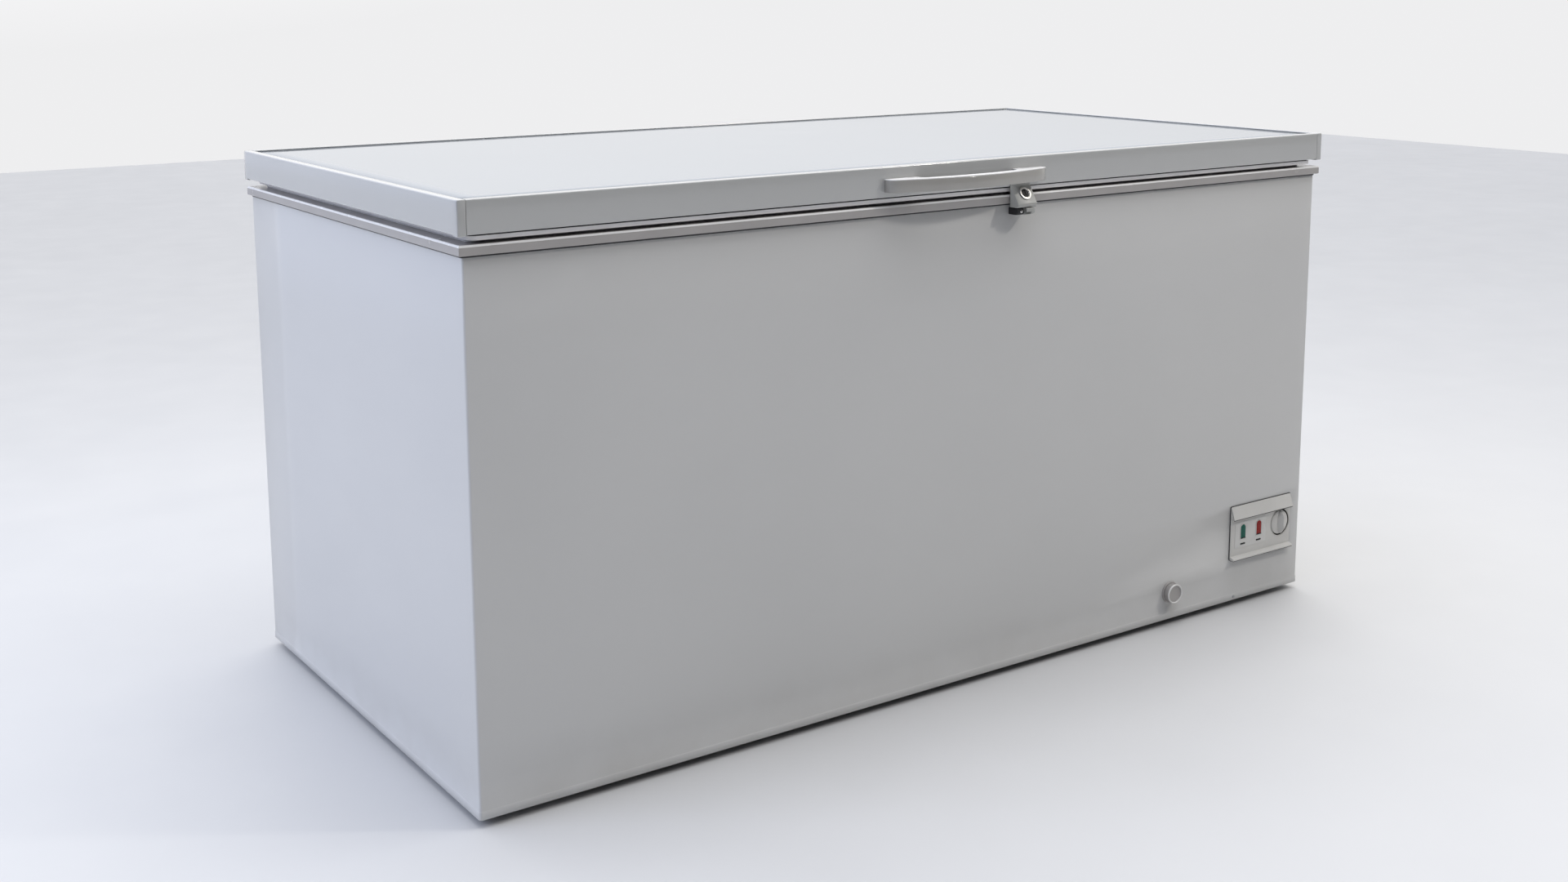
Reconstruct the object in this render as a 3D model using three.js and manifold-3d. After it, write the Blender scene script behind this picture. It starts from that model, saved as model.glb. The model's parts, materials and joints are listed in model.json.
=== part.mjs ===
// Chest freezer: a foamed steel cabinet on four recessed wheels, with a hinged, lockable lid.
// Millimetres, +Z up, front towards -Y, origin on the floor under the middle of the footprint.
import * as THREE from 'three';
import { mergeVertices } from 'three/addons/utils/BufferGeometryUtils.js';
import Module from 'manifold-3d';

const wasm = await Module();
wasm.setup();

// ---- driving dimensions ----
const CASE_HALF_WIDTH = 825;
const CASE_HALF_DEPTH = 410;
const CASE_BOTTOM = 12; // lower edge of the outer panels
const CASE_TOP = 774;
const SHEET = 1; // steel sheet
const GAP = 0.3; // clearance between touching pieces
const WALL = 62; // foamed wall, from panel to liner
const PAN_BOTTOM = 44;
const PAN_TOP = 45.5;

const COLLAR_TOP = 788;
const COLLAR_OVERHANG = 6;
const COLLAR_WALL = 2.5;

const LID_BOTTOM = 801;
const LID_TOP = 847;
const LID_OVERHANG = 8;
const LID_HALF_WIDTH = CASE_HALF_WIDTH + LID_OVERHANG;
const LID_HALF_DEPTH = CASE_HALF_DEPTH + LID_OVERHANG;
const LID_FRONT = -LID_HALF_DEPTH;
const RAIL_LIP = 12; // width of the lid frame's top lip
const RAIL_FLANGE = 26; // width of the lid frame's bottom flange
const RAIL_WALL = 1.6;
const TOP_SHEET_TOP = 845.1;

const LINER_HALF_WIDTH = CASE_HALF_WIDTH - WALL;
const LINER_HALF_DEPTH = CASE_HALF_DEPTH - WALL;
const LINER_CORNER = 30;
const LINER_FLOOR = 110;
const STEP_TOP = 330; // floor of the shallow end, over the machine bay
const STEP_X = 525;
const BAY_X = 588; // left wall of the machine bay
const BAY_TOP = 250;

const PANEL = { left: 638, right: 797, bottom: 89, top: 187 }; // control panel on the front
const LAMP_Z = 138;
const LAMP_X = { green: 670, red: 712 };
const KNOB = { x: 770, z: 137, radius: 22.5 };
const DRAIN = { x: 487, z: 61, inletY: -300, radius: 11 };

const HANDLE = { half: 155, bottom: 809, top: 829, reach: 38, endReach: 16, gapHalf: 108, thick: 14 };
const LOCK = { x: 111, half: 20, top: 802, bottom: 769 };
const LOCK_FACE = { topY: -421, bottomY: -438, bottomZ: 775 }; // the sloping face of the lock housing
const BARREL = { x: 113, z: 790, radius: 8, ring: 11 };

const HINGE = { x: 560, y: 430, z: 787, half: 34, rear: 456 };
const WHEEL = { x: 700, y: 300, radius: 20, width: 18, axle: 4, sides: 24 };
const COMPRESSOR = { x: 706, y: 220, radius: 70 };

// ---- geometry helpers ----
function toSolid(geometry) {
  const bare = geometry.clone();
  bare.deleteAttribute('normal');
  bare.deleteAttribute('uv');
  const merged = mergeVertices(bare, 1e-4);
  return new wasm.Manifold(new wasm.Mesh({
    numProp: 3,
    vertProperties: merged.attributes.position.array,
    triVerts: new Uint32Array(merged.index.array),
  }));
}

function toGeometry(solid) {
  const mesh = solid.getMesh();
  const geometry = new THREE.BufferGeometry();
  geometry.setAttribute('position', new THREE.BufferAttribute(new Float32Array(mesh.vertProperties), 3));
  geometry.setIndex(new THREE.BufferAttribute(new Uint32Array(mesh.triVerts), 1));
  geometry.computeVertexNormals();
  return geometry;
}

function join(...solids) {
  return solids.reduce((whole, next) => whole.add(next));
}

function cut(solid, ...tools) {
  return tools.reduce((whole, next) => whole.subtract(next), solid);
}

function box(x0, x1, y0, y1, z0, z1) {
  const geometry = new THREE.BoxGeometry(x1 - x0, y1 - y0, z1 - z0);
  geometry.translate((x0 + x1) / 2, (y0 + y1) / 2, (z0 + z1) / 2);
  return toSolid(geometry);
}

function outline(points) {
  return new THREE.Shape(points.map(([u, v]) => new THREE.Vector2(u, v)));
}

function extrude(shape, depth) {
  return new THREE.ExtrudeGeometry(shape, { depth, bevelEnabled: false, curveSegments: 3 });
}

// A plan outline (x, y) raised from z0 to z1.
function prismZ(shape, z0, z1) {
  return toSolid(extrude(shape, z1 - z0).translate(0, 0, z0));
}

// A side outline (y, z) drawn along x.
function prismX(points, x0, x1) {
  const axes = new THREE.Matrix4().makeBasis(
    new THREE.Vector3(0, 1, 0), new THREE.Vector3(0, 0, 1), new THREE.Vector3(1, 0, 0));
  return toSolid(extrude(outline(points), x1 - x0).applyMatrix4(axes).translate(x0, 0, 0));
}

// A front outline (x, z) drawn along y.
function prismY(shape, y0, y1) {
  return toSolid(extrude(shape, y1 - y0).rotateX(Math.PI / 2).translate(0, y1, 0));
}

function roundedRect(halfX, halfY, radius, centreX = 0, centreY = 0) {
  const shape = new THREE.Shape();
  const inX = halfX - radius;
  const inY = halfY - radius;
  shape.absarc(centreX + inX, centreY + inY, radius, 0, Math.PI / 2);
  shape.absarc(centreX - inX, centreY + inY, radius, Math.PI / 2, Math.PI);
  shape.absarc(centreX - inX, centreY - inY, radius, Math.PI, 1.5 * Math.PI);
  shape.absarc(centreX + inX, centreY - inY, radius, 1.5 * Math.PI, 2 * Math.PI);
  return shape;
}

// A turned piece: profile points are (radius, height) from the axis and back to it, or a closed loop.
function turned(profile, segments) {
  const points = profile.map(([radius, height]) => new THREE.Vector2(radius, height));
  return new THREE.LatheGeometry(points, segments);
}

const alongX = (geometry) => geometry.rotateZ(-Math.PI / 2);
const alongZ = (geometry) => geometry.rotateX(Math.PI / 2);
const towardsFront = (geometry) => geometry.rotateX(Math.PI);

function rod(radius, length, segments = 16) {
  return turned([[0, 0], [radius, 0], [radius, length], [0, length]], segments);
}

function rodX(x0, x1, y, z, radius, segments) {
  return toSolid(alongX(rod(radius, x1 - x0, segments)).translate(x0, y, z));
}

function rodY(x, y0, y1, z, radius, segments) {
  return toSolid(rod(radius, y1 - y0, segments).translate(x, y0, z));
}

function rodZ(x, y, z0, z1, radius, segments) {
  return toSolid(alongZ(rod(radius, z1 - z0, segments)).translate(x, y, z0));
}

// A path through points, so that each step of an extrusion ends on one of them, mitred.
class Route extends THREE.Curve {
  constructor(points) {
    super();
    this.points = points;
  }

  getPoint(t, target = new THREE.Vector3()) {
    const place = t * (this.points.length - 1);
    const index = Math.min(Math.floor(place + 1e-9), this.points.length - 2);
    return target.lerpVectors(this.points[index], this.points[index + 1], place - index);
  }

  getPointAt(u, target) {
    return this.getPoint(u, target);
  }

  getUtoTmapping(u) {
    return u;
  }

  getTangent(t, target = new THREE.Vector3()) {
    const last = this.points.length - 1;
    const index = Math.round(t * last);
    const here = this.points[index];
    target.set(0, 0, 0);
    if (index > 0) target.add(here.clone().sub(this.points[index - 1]).normalize());
    if (index < last) target.add(this.points[index + 1].clone().sub(here).normalize());
    return target.normalize();
  }
}

// Corner points, with each inner corner rounded over the given length.
function bent(corners, reach) {
  const points = corners.map(([x, y, z]) => new THREE.Vector3(x, y, z));
  const path = [points[0]];
  for (let i = 1; i < points.length - 1; i += 1) {
    const toLast = points[i - 1].clone().sub(points[i]);
    const toNext = points[i + 1].clone().sub(points[i]);
    const length = Math.min(reach, toLast.length() * 0.45, toNext.length() * 0.45);
    const start = points[i].clone().add(toLast.setLength(length));
    const end = points[i].clone().add(toNext.setLength(length));
    path.push(...new THREE.QuadraticBezierCurve3(start, points[i], end).getPoints(2));
  }
  path.push(points.at(-1));
  return path;
}

function tube(points, radius, sides) {
  const section = new THREE.Shape();
  section.absarc(0, 0, radius, 0, 2 * Math.PI);
  const extrudePath = new Route(points);
  const steps = points.length - 1;
  return new THREE.ExtrudeGeometry(section, { steps, extrudePath, curveSegments: sides });
}

// ---- finishes ----
const FINISH = {
  casePaint: [0xd2d4d6, 0.42, 0.25],
  lidPaint: [0xdfe2e4, 0.2, 0.2],
  frame: [0xc9cbca, 0.4, 0.2],
  collar: [0xd3cfcd, 0.5, 0],
  panel: [0xb8b5ab, 0.5, 0],
  handle: [0xa19c92, 0.45, 0],
  lockBody: [0xa3a69e, 0.45, 0],
  gasket: [0xb9b1af, 0.7, 0],
  foam: [0xe0cf9a, 0.9, 0],
  liner: [0xe4e7e9, 0.3, 0.3],
  steel: [0x9a9c9e, 0.35, 0.9],
  copper: [0xb87750, 0.35, 0.9],
  black: [0x1c1c1e, 0.6, 0],
  rubber: [0x2a2a2b, 0.85, 0],
  green: [0x0a4b3c, 0.15, 0],
  red: [0x731914, 0.15, 0],
};

const freezer = new THREE.Group();

function add(name, shape, finish, parent = freezer) {
  const geometry = shape.isBufferGeometry ? shape : toGeometry(shape);
  const [color, roughness, metalness] = FINISH[finish];
  const mesh = new THREE.Mesh(geometry, new THREE.MeshStandardMaterial({ color, roughness, metalness }));
  mesh.name = name;
  parent.add(mesh);
  return mesh;
}

// ---- cabinet panels ----
const PANEL_HOLE = { left: 646, right: 796.4, bottom: 99, top: 177 };
const CORNER_BEND = 3;
const RETURN = 12; // the front sheet's folded edge, along the side

function frontPanel() {
  const outer = roundedRect(CASE_HALF_WIDTH, CASE_HALF_DEPTH, CORNER_BEND);
  const inner = roundedRect(CASE_HALF_WIDTH - SHEET, CASE_HALF_DEPTH - SHEET, CORNER_BEND - SHEET);
  const wrap = cut(prismZ(outer, CASE_BOTTOM, CASE_TOP - GAP), prismZ(inner, 0, CASE_TOP + 10));
  const behind = box(-900, 900, -CASE_HALF_DEPTH + RETURN, 900, 0, CASE_TOP + 10);
  const { left, right, bottom, top } = PANEL_HOLE;
  const drainHole = rodY(DRAIN.x, -420, -400, DRAIN.z, DRAIN.radius + 3);
  return cut(wrap, behind, box(left, right, -420, -400, bottom, top), drainHole);
}

const SIDE_FRONT = -CASE_HALF_DEPTH + RETURN + GAP;
const SIDE_BACK = CASE_HALF_DEPTH - SHEET - GAP;
const VENT = { count: 9, bottom: 70, pitch: 15, length: 150, height: 6, y: 200 };

function sidePanel(sign) {
  const outside = sign * CASE_HALF_WIDTH;
  const inside = sign * (CASE_HALF_WIDTH - SHEET);
  const low = Math.min(outside, inside);
  return box(low, low + SHEET, SIDE_FRONT, SIDE_BACK, CASE_BOTTOM, CASE_TOP - GAP);
}

function rightSidePanel() {
  let panel = sidePanel(1);
  for (let i = 0; i < VENT.count; i += 1) {
    const z = VENT.bottom + i * VENT.pitch;
    const slot = box(800, 850, VENT.y - VENT.length / 2, VENT.y + VENT.length / 2, z, z + VENT.height);
    panel = panel.subtract(slot);
  }
  return panel;
}

const REAR_HOLE = { left: 660, right: 800, bottom: 70, top: 230 };
const GLAND = { x: 626, z: 150, radius: 8 };

function backPanel() {
  const sheet = box(-CASE_HALF_WIDTH, CASE_HALF_WIDTH, CASE_HALF_DEPTH - SHEET, CASE_HALF_DEPTH,
    CASE_BOTTOM, CASE_TOP - GAP);
  const { left, right, bottom, top } = REAR_HOLE;
  return cut(sheet, box(left, right, 400, 420, bottom, top),
    rodY(GLAND.x, 400, 420, GLAND.z, GLAND.radius + GAP));
}

function rearCover() {
  const front = CASE_HALF_DEPTH + GAP;
  const margin = 18;
  let cover = box(REAR_HOLE.left - margin, REAR_HOLE.right + margin, front, front + 4,
    REAR_HOLE.bottom - margin, REAR_HOLE.top + margin);
  for (let i = 0; i < VENT.count; i += 1) {
    const z = REAR_HOLE.bottom + 12 + i * VENT.pitch;
    cover = cover.subtract(box(REAR_HOLE.left + 8, REAR_HOLE.right - 8, 400, 420, z, z + VENT.height));
  }
  return cover;
}

function cordGland() {
  const back = CASE_HALF_DEPTH;
  const profile = [
    [3.6, back - 12], [GLAND.radius, back - 12], [GLAND.radius, back + GAP], [12, back + GAP],
    [12, back + 4], [6, back + 16], [3.6, back + 16], [3.6, back - 12],
  ];
  return turned(profile, 16).translate(GLAND.x, 0, GLAND.z);
}

function basePan() {
  const halfX = CASE_HALF_WIDTH - SHEET - GAP;
  const halfY = CASE_HALF_DEPTH - SHEET - GAP;
  return prismZ(roundedRect(halfX, halfY, CORNER_BEND + 1), PAN_BOTTOM, PAN_TOP);
}

// ---- insulation, liner and refrigerant tubes ----
// The stepped inside of the cabinet, grown outwards by a skin or clearance.
function storageSpace(grow, top) {
  const plan = roundedRect(LINER_HALF_WIDTH + grow, LINER_HALF_DEPTH + grow, LINER_CORNER + grow);
  const side = outline([
    [-900, LINER_FLOOR - grow], [STEP_X + grow, LINER_FLOOR - grow], [STEP_X + grow, STEP_TOP - grow],
    [900, STEP_TOP - grow], [900, top], [-900, top],
  ]);
  return prismZ(plan, 50, top).intersect(prismY(side, -500, 500));
}

function innerLiner() {
  const drainHole = rodZ(DRAIN.x, DRAIN.inletY, 100, 120, DRAIN.radius - 1);
  return cut(storageSpace(SHEET, CASE_TOP - GAP), storageSpace(0, CASE_TOP + 10), drainHole);
}

const COIL_GROOVE = 12;
const EVAPORATOR = { radius: 4.75, first: 400, pitch: 90, turns: 4, inset: LINER_HALF_DEPTH + SHEET + 5.5 };
const CONDENSER = { radius: 4, first: 355, pitch: 130, turns: 3, inset: CASE_HALF_DEPTH - SHEET - 5.2 };
const CHANNEL = { left: 562, right: 698, top: 740 }; // service channel through the back wall's foam
const TUBE_IN_X = 605; // where each turn of tube leaves the channel
const TUBE_OUT_X = 655; // where it comes back

function insulationFoam() {
  const halfX = CASE_HALF_WIDTH - SHEET - GAP;
  const halfY = CASE_HALF_DEPTH - SHEET - GAP;
  const block = prismZ(roundedRect(halfX, halfY, CORNER_BEND + 2), PAN_TOP + GAP, CASE_TOP - 2);
  const bay = box(BAY_X, 900, -500, 500, 0, BAY_TOP);
  const channel = box(CHANNEL.left, CHANNEL.right, LINER_HALF_DEPTH, 500, BAY_TOP - 10, CHANNEL.top);
  const side = DRAIN.radius + 3;
  const drainDrop = box(DRAIN.x - side, DRAIN.x + side, DRAIN.inletY - side, DRAIN.inletY + side, 0, 120);
  const drainRun = box(DRAIN.x - side, DRAIN.x + side, -500, DRAIN.inletY, 0, DRAIN.z + side + 2);
  const grooves = [];
  for (let turn = 0; turn < EVAPORATOR.turns; turn += 1) {
    const z = EVAPORATOR.first + turn * EVAPORATOR.pitch;
    const reachX = LINER_HALF_WIDTH + SHEET + COIL_GROOVE;
    const reachY = LINER_HALF_DEPTH + SHEET + COIL_GROOVE;
    grooves.push(box(-reachX, reachX, -reachY, reachY, z - 6, z + 6));
  }
  for (let turn = 0; turn < CONDENSER.turns; turn += 1) {
    const z = CONDENSER.first + turn * CONDENSER.pitch;
    const ring = box(-900, 900, -500, 500, z - 6, z + 6);
    const core = roundedRect(halfX - COIL_GROOVE, halfY - COIL_GROOVE, 25);
    grooves.push(ring.subtract(prismZ(core, 0, 900)));
  }
  const space = storageSpace(SHEET + GAP, CASE_TOP + 10);
  return cut(block, space, bay, channel, drainDrop, drainRun, ...grooves);
}

// Turns round the cabinet, each stepping up to the next inside the service channel.
function coilCorners(halfX, halfY, first, pitch, turns) {
  const corners = [];
  for (let turn = 0; turn < turns; turn += 1) {
    const z = first + turn * pitch;
    corners.push([TUBE_IN_X, halfY, z], [-halfX, halfY, z], [-halfX, -halfY, z], [halfX, -halfY, z],
      [halfX, halfY, z], [TUBE_OUT_X, halfY, z]);
  }
  return corners;
}

function evaporatorTube() {
  const halfY = EVAPORATOR.inset;
  const halfX = halfY + LINER_HALF_WIDTH - LINER_HALF_DEPTH;
  const { first, pitch, turns, radius } = EVAPORATOR;
  const last = first + (turns - 1) * pitch;
  const back = halfY + 16;
  const suction = [[TUBE_OUT_X, back, last], [TUBE_OUT_X, back, 190], [700, 325, 190], [700, 291.8, 190]];
  const corners = [[TUBE_IN_X, halfY, 235], ...coilCorners(halfX, halfY, first, pitch, turns), ...suction];
  return tube(bent(corners, 24), radius, 3);
}

function condenserTube() {
  const halfY = CONDENSER.inset;
  const halfX = halfY + CASE_HALF_WIDTH - CASE_HALF_DEPTH;
  const { first, pitch, turns, radius } = CONDENSER;
  const last = first + (turns - 1) * pitch;
  const discharge = [[725, 291, 80], [725, 335, 80], [620, halfY - 14, 80], [TUBE_IN_X, halfY, 110]];
  const toDrier = [[TUBE_OUT_X, halfY - 15, last], [TUBE_OUT_X, halfY - 15, 224]];
  const corners = [...discharge, ...coilCorners(halfX, halfY, first, pitch, turns), ...toDrier];
  return tube(bent(corners, 30), radius, 3);
}

// ---- machine bay ----
function compressorShell() {
  const { radius } = COMPRESSOR;
  const profile = [
    [0, 63], [38, 64], [60, 74], [radius, 96], [radius, 138], [radius + 3, 140], [radius + 3, 146],
    [radius, 148], [radius - 2, 176], [radius - 14, 202], [34, 218], [0, 222],
  ];
  return alongZ(turned(profile, 20)).translate(COMPRESSOR.x, COMPRESSOR.y, 0);
}

function compressorMount() {
  const { x, y } = COMPRESSOR;
  let mount = prismZ(roundedRect(88, 72, 8, x, y), 58, 60);
  for (const side of [-1, 1]) {
    for (const end of [-1, 1]) {
      mount = mount.add(rodZ(x + side * 76, y + end * 60, PAN_TOP + GAP, 66, 9, 8));
    }
  }
  return mount;
}

function relayBox() {
  const { x, y, radius } = COMPRESSOR;
  const front = y - radius - 48;
  return cut(box(x - 26, x + 26, front, y - radius - 4, 104, 172),
    box(x - 20, x + 20, front - 1, front + 1.5, 112, 164));
}

function filterDrier() {
  const profile = [[0, 112], [5, 112], [5, 120], [11, 128], [11, 205], [5, 214], [5, 223], [0, 223]];
  return alongZ(turned(profile, 14)).translate(TUBE_OUT_X, CONDENSER.inset - 15, 0);
}

// ---- collar round the mouth of the cabinet ----
// One straight run of collar along x, on the front side, mitred at both ends.
function collarRun(halfLength, halfDepth) {
  const front = -halfDepth - COLLAR_OVERHANG;
  const back = -halfDepth + WALL;
  const low = CASE_TOP;
  const top = COLLAR_TOP;
  const profile = [
    [front, low], [front + COLLAR_WALL, low], [front + COLLAR_WALL, top - COLLAR_WALL],
    [back - COLLAR_WALL, top - COLLAR_WALL], [back - COLLAR_WALL, low], [back, low], [back, top - 1.5],
    [back - 1.5, top], [front + 3, top], [front + 0.9, top - 0.9], [front, top - 3],
  ];
  const outer = halfLength + COLLAR_OVERHANG - GAP;
  const inner = halfLength - WALL - GAP;
  const mitre = outline([[-outer, front], [outer, front], [inner, back], [-inner, back]]);
  return prismX(profile, -outer, outer).intersect(prismZ(mitre, low - 5, top + 5));
}

// ---- control panel ----
function archShape(x, z, halfWidth, height) {
  const shape = new THREE.Shape();
  const shoulder = z + height / 2 - halfWidth;
  shape.moveTo(x - halfWidth, z - height / 2);
  shape.lineTo(x + halfWidth, z - height / 2);
  shape.lineTo(x + halfWidth, shoulder);
  shape.absarc(x, shoulder, halfWidth, 0, Math.PI);
  return shape;
}

const BEZEL_BACK = -CASE_HALF_DEPTH - GAP;
const BEZEL_FRONT = BEZEL_BACK - 2.2;
const CUP = { radius: 24.8, wall: 1.2, floor: -403 };

function controlBezel() {
  const { left, right, bottom, top } = PANEL;
  const plate = box(left, right, BEZEL_FRONT, BEZEL_BACK, bottom, top);
  const visor = prismX([[BEZEL_BACK, top], [BEZEL_FRONT, top], [-420, top - 21], [-420, top - 23],
    [BEZEL_BACK, top - 20]], left, right);
  const lip = prismX([[BEZEL_BACK, bottom], [-421, bottom], [-421, bottom + 3], [BEZEL_BACK, bottom + 7]],
    left, right);
  const cup = rodY(KNOB.x, BEZEL_FRONT + 1, CUP.floor, KNOB.z, CUP.radius + CUP.wall, 32);
  const cupInside = rodY(KNOB.x, BEZEL_FRONT - 20, CUP.floor - CUP.wall, KNOB.z, CUP.radius, 32);
  const spindleHole = rodY(KNOB.x, -440, -390, KNOB.z, 4.5);
  const lampHoles = Object.values(LAMP_X).map(
    (x) => prismY(archShape(x, LAMP_Z, 6.5 + GAP, 26 + 2 * GAP), -430, -400));
  return cut(join(plate, visor, lip, cup), cupInside, spindleHole, ...lampHoles);
}

function lampLens(x) {
  return prismY(archShape(x, LAMP_Z, 6.5, 26), BEZEL_FRONT - 1.4, -404);
}

function lampHolder() {
  const centre = (LAMP_X.green + LAMP_X.red) / 2;
  return cut(box(centre - 34, centre + 34, -404 + GAP, -384, LAMP_Z - 17, LAMP_Z + 17),
    box(centre - 12, centre + 12, -405, -398, LAMP_Z - 20, LAMP_Z + 20));
}

function thermostatBody() {
  const front = CUP.floor + GAP;
  return cut(box(KNOB.x - 21, KNOB.x + 21, front, front + 34, KNOB.z - 18, KNOB.z + 18),
    rodY(KNOB.x, front - 5, front + 14, KNOB.z, 3.6, 16));
}

function thermostatKnob() {
  const back = CUP.floor - CUP.wall - 1;
  const disc = rodY(KNOB.x, back - 7, back, KNOB.z, KNOB.radius, 32);
  const leaf = new THREE.Shape();
  leaf.moveTo(KNOB.x, KNOB.z - KNOB.radius + 1);
  leaf.quadraticCurveTo(KNOB.x + 11, KNOB.z, KNOB.x, KNOB.z + KNOB.radius - 1);
  leaf.quadraticCurveTo(KNOB.x - 11, KNOB.z, KNOB.x, KNOB.z - KNOB.radius + 1);
  const grip = prismY(leaf, back - 17, back - 6);
  const shaft = rodY(KNOB.x, back - 1, CUP.floor + 12, KNOB.z, 3.2, 16);
  return join(disc, grip, shaft);
}

// ---- drain ----
function drainTube() {
  const corners = [[DRAIN.x, DRAIN.inletY, LINER_FLOOR - SHEET - GAP], [DRAIN.x, DRAIN.inletY, DRAIN.z],
    [DRAIN.x, -CASE_HALF_DEPTH + 2, DRAIN.z]];
  const path = bent(corners, 22);
  const bore = path.map((point) => point.clone());
  bore[0].z += 5;
  bore.at(-1).y -= 5;
  return toSolid(tube(path, DRAIN.radius, 6)).subtract(toSolid(tube(bore, DRAIN.radius - 2, 6)));
}

function drainCollar() {
  const back = CASE_HALF_DEPTH + GAP;
  const profile = [[9, back], [19, back], [19, back + 1.6], [17.5, back + 2.6], [12, back + 2.6],
    [12, back + 11], [9, back + 11], [9, back]];
  return towardsFront(turned(profile, 24)).translate(DRAIN.x, 0, DRAIN.z);
}

function drainCap() {
  const back = CASE_HALF_DEPTH + GAP + 2.6 + GAP;
  const profile = [[12.6, back], [16.2, back], [17, back + 1], [17, back + 9.5], [15.5, back + 11.5],
    [13, back + 11.5], [12, back + 10.2], [0, back + 10.2], [0, back + 8.7], [12.6, back + 8.7],
    [12.6, back]];
  return towardsFront(turned(profile, 24)).translate(DRAIN.x, 0, DRAIN.z);
}

function drainStopper() {
  const low = LINER_FLOOR;
  const profile = [[0, low - 10], [7.5, low - 10], [8.2, low + GAP], [16, low + GAP], [16, low + 2.5],
    [5, low + 4], [4, low + 9], [6.5, low + 11], [6.5, low + 14], [0, low + 15]];
  return alongZ(turned(profile, 20)).translate(DRAIN.x, DRAIN.inletY, 0);
}

// ---- lid ----
// Frame section: distance in from the lid's edge, and height.
const RAIL_SECTION = [
  [RAIL_FLANGE, LID_BOTTOM], [1, LID_BOTTOM], [0, LID_BOTTOM + 1], [0, LID_TOP - 4], [1.2, LID_TOP - 1.2],
  [4, LID_TOP], [RAIL_LIP, LID_TOP], [RAIL_LIP, TOP_SHEET_TOP + GAP], [4.5, TOP_SHEET_TOP + GAP],
  [2.2, LID_TOP - 2.6], [RAIL_WALL, LID_TOP - 4.4], [RAIL_WALL, LID_BOTTOM + RAIL_WALL],
  [RAIL_FLANGE, LID_BOTTOM + RAIL_WALL],
];
const CORNER_BLOCK = 12.2;

function lidEndRail(front) {
  const edge = LID_HALF_WIDTH - CORNER_BLOCK - GAP;
  const points = RAIL_SECTION.map(([inward, z]) => [front * (LID_HALF_DEPTH - inward), z]);
  return prismX(points, -edge, edge);
}

function lidSideRail(sign) {
  const shape = outline(RAIL_SECTION.map(([inward, z]) => [sign * (LID_HALF_WIDTH - inward), z]));
  let rail = prismY(shape, -LID_HALF_DEPTH, LID_HALF_DEPTH);
  for (const end of [-1, 1]) {
    const centreX = sign * (LID_HALF_WIDTH - CORNER_BLOCK / 2);
    const centreY = end * (LID_HALF_DEPTH - CORNER_BLOCK / 2);
    const innerX = sign * (LID_HALF_WIDTH - CORNER_BLOCK);
    const deepX = sign * (LID_HALF_WIDTH - RAIL_FLANGE - 1);
    const deepY = end * (LID_HALF_DEPTH - RAIL_FLANGE - GAP);
    const corner = box(Math.min(innerX, deepX), Math.max(innerX, deepX), Math.min(deepY, end * 500),
      Math.max(deepY, end * 500), LID_BOTTOM - 5, LID_TOP + 5);
    const plan = roundedRect(CORNER_BLOCK / 2, CORNER_BLOCK / 2, 2, centreX, centreY);
    const block = prismZ(plan, LID_BOTTOM, LID_TOP);
    rail = rail.subtract(corner).add(block);
  }
  return rail;
}

const DOME = { halfX: 750, halfY: 335, bottom: 790, corner: 24 };

function lidTopSheet() {
  const notch = CORNER_BLOCK + GAP;
  let sheet = box(-LID_HALF_WIDTH + 5, LID_HALF_WIDTH - 5, -LID_HALF_DEPTH + 5, LID_HALF_DEPTH - 5,
    TOP_SHEET_TOP - SHEET, TOP_SHEET_TOP);
  for (const side of [-1, 1]) {
    for (const end of [-1, 1]) {
      const x = side * LID_HALF_WIDTH;
      const y = end * LID_HALF_DEPTH;
      sheet = sheet.subtract(box(x - notch, x + notch, y - notch, y + notch, LID_BOTTOM, LID_TOP));
    }
  }
  return sheet;
}

function lidFoam() {
  const halfX = LID_HALF_WIDTH - CORNER_BLOCK - 2 * GAP;
  const slab = box(-halfX, halfX, -LID_HALF_DEPTH + 2, LID_HALF_DEPTH - 2, LID_BOTTOM + 2,
    TOP_SHEET_TOP - SHEET - GAP);
  const halfBossX = DOME.halfX - 10;
  const halfBossY = DOME.halfY - 10;
  const boss = box(-halfBossX, halfBossX, -halfBossY, halfBossY, DOME.bottom + 1.5, LID_BOTTOM + 3);
  return join(slab, boss);
}

function lidLiner() {
  const halfX = LID_HALF_WIDTH - RAIL_FLANGE - GAP;
  const halfY = LID_HALF_DEPTH - RAIL_FLANGE - GAP;
  const flange = box(-halfX, halfX, -halfY, halfY, LID_BOTTOM + 0.2, LID_BOTTOM + RAIL_WALL);
  const dome = prismZ(roundedRect(DOME.halfX, DOME.halfY, DOME.corner), DOME.bottom, LID_BOTTOM + 1);
  const skin = 1.2;
  const hollow = roundedRect(DOME.halfX - skin, DOME.halfY - skin, DOME.corner);
  const inside = prismZ(hollow, DOME.bottom + skin, LID_TOP);
  return join(flange, dome).subtract(inside);
}

const GASKET = { inset: 22, width: 16, corner: 25, top: LID_BOTTOM - 0.1, bottom: COLLAR_TOP + GAP };

function lidGasket() {
  const outerX = LID_HALF_WIDTH - GASKET.inset;
  const outerY = LID_HALF_DEPTH - GASKET.inset;
  const { width, corner } = GASKET;
  const outer = roundedRect(outerX, outerY, corner);
  const inner = roundedRect(outerX - width, outerY - width, corner - width + 4);
  return cut(prismZ(outer, GASKET.bottom, GASKET.top), prismZ(inner, 700, 900));
}

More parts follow.
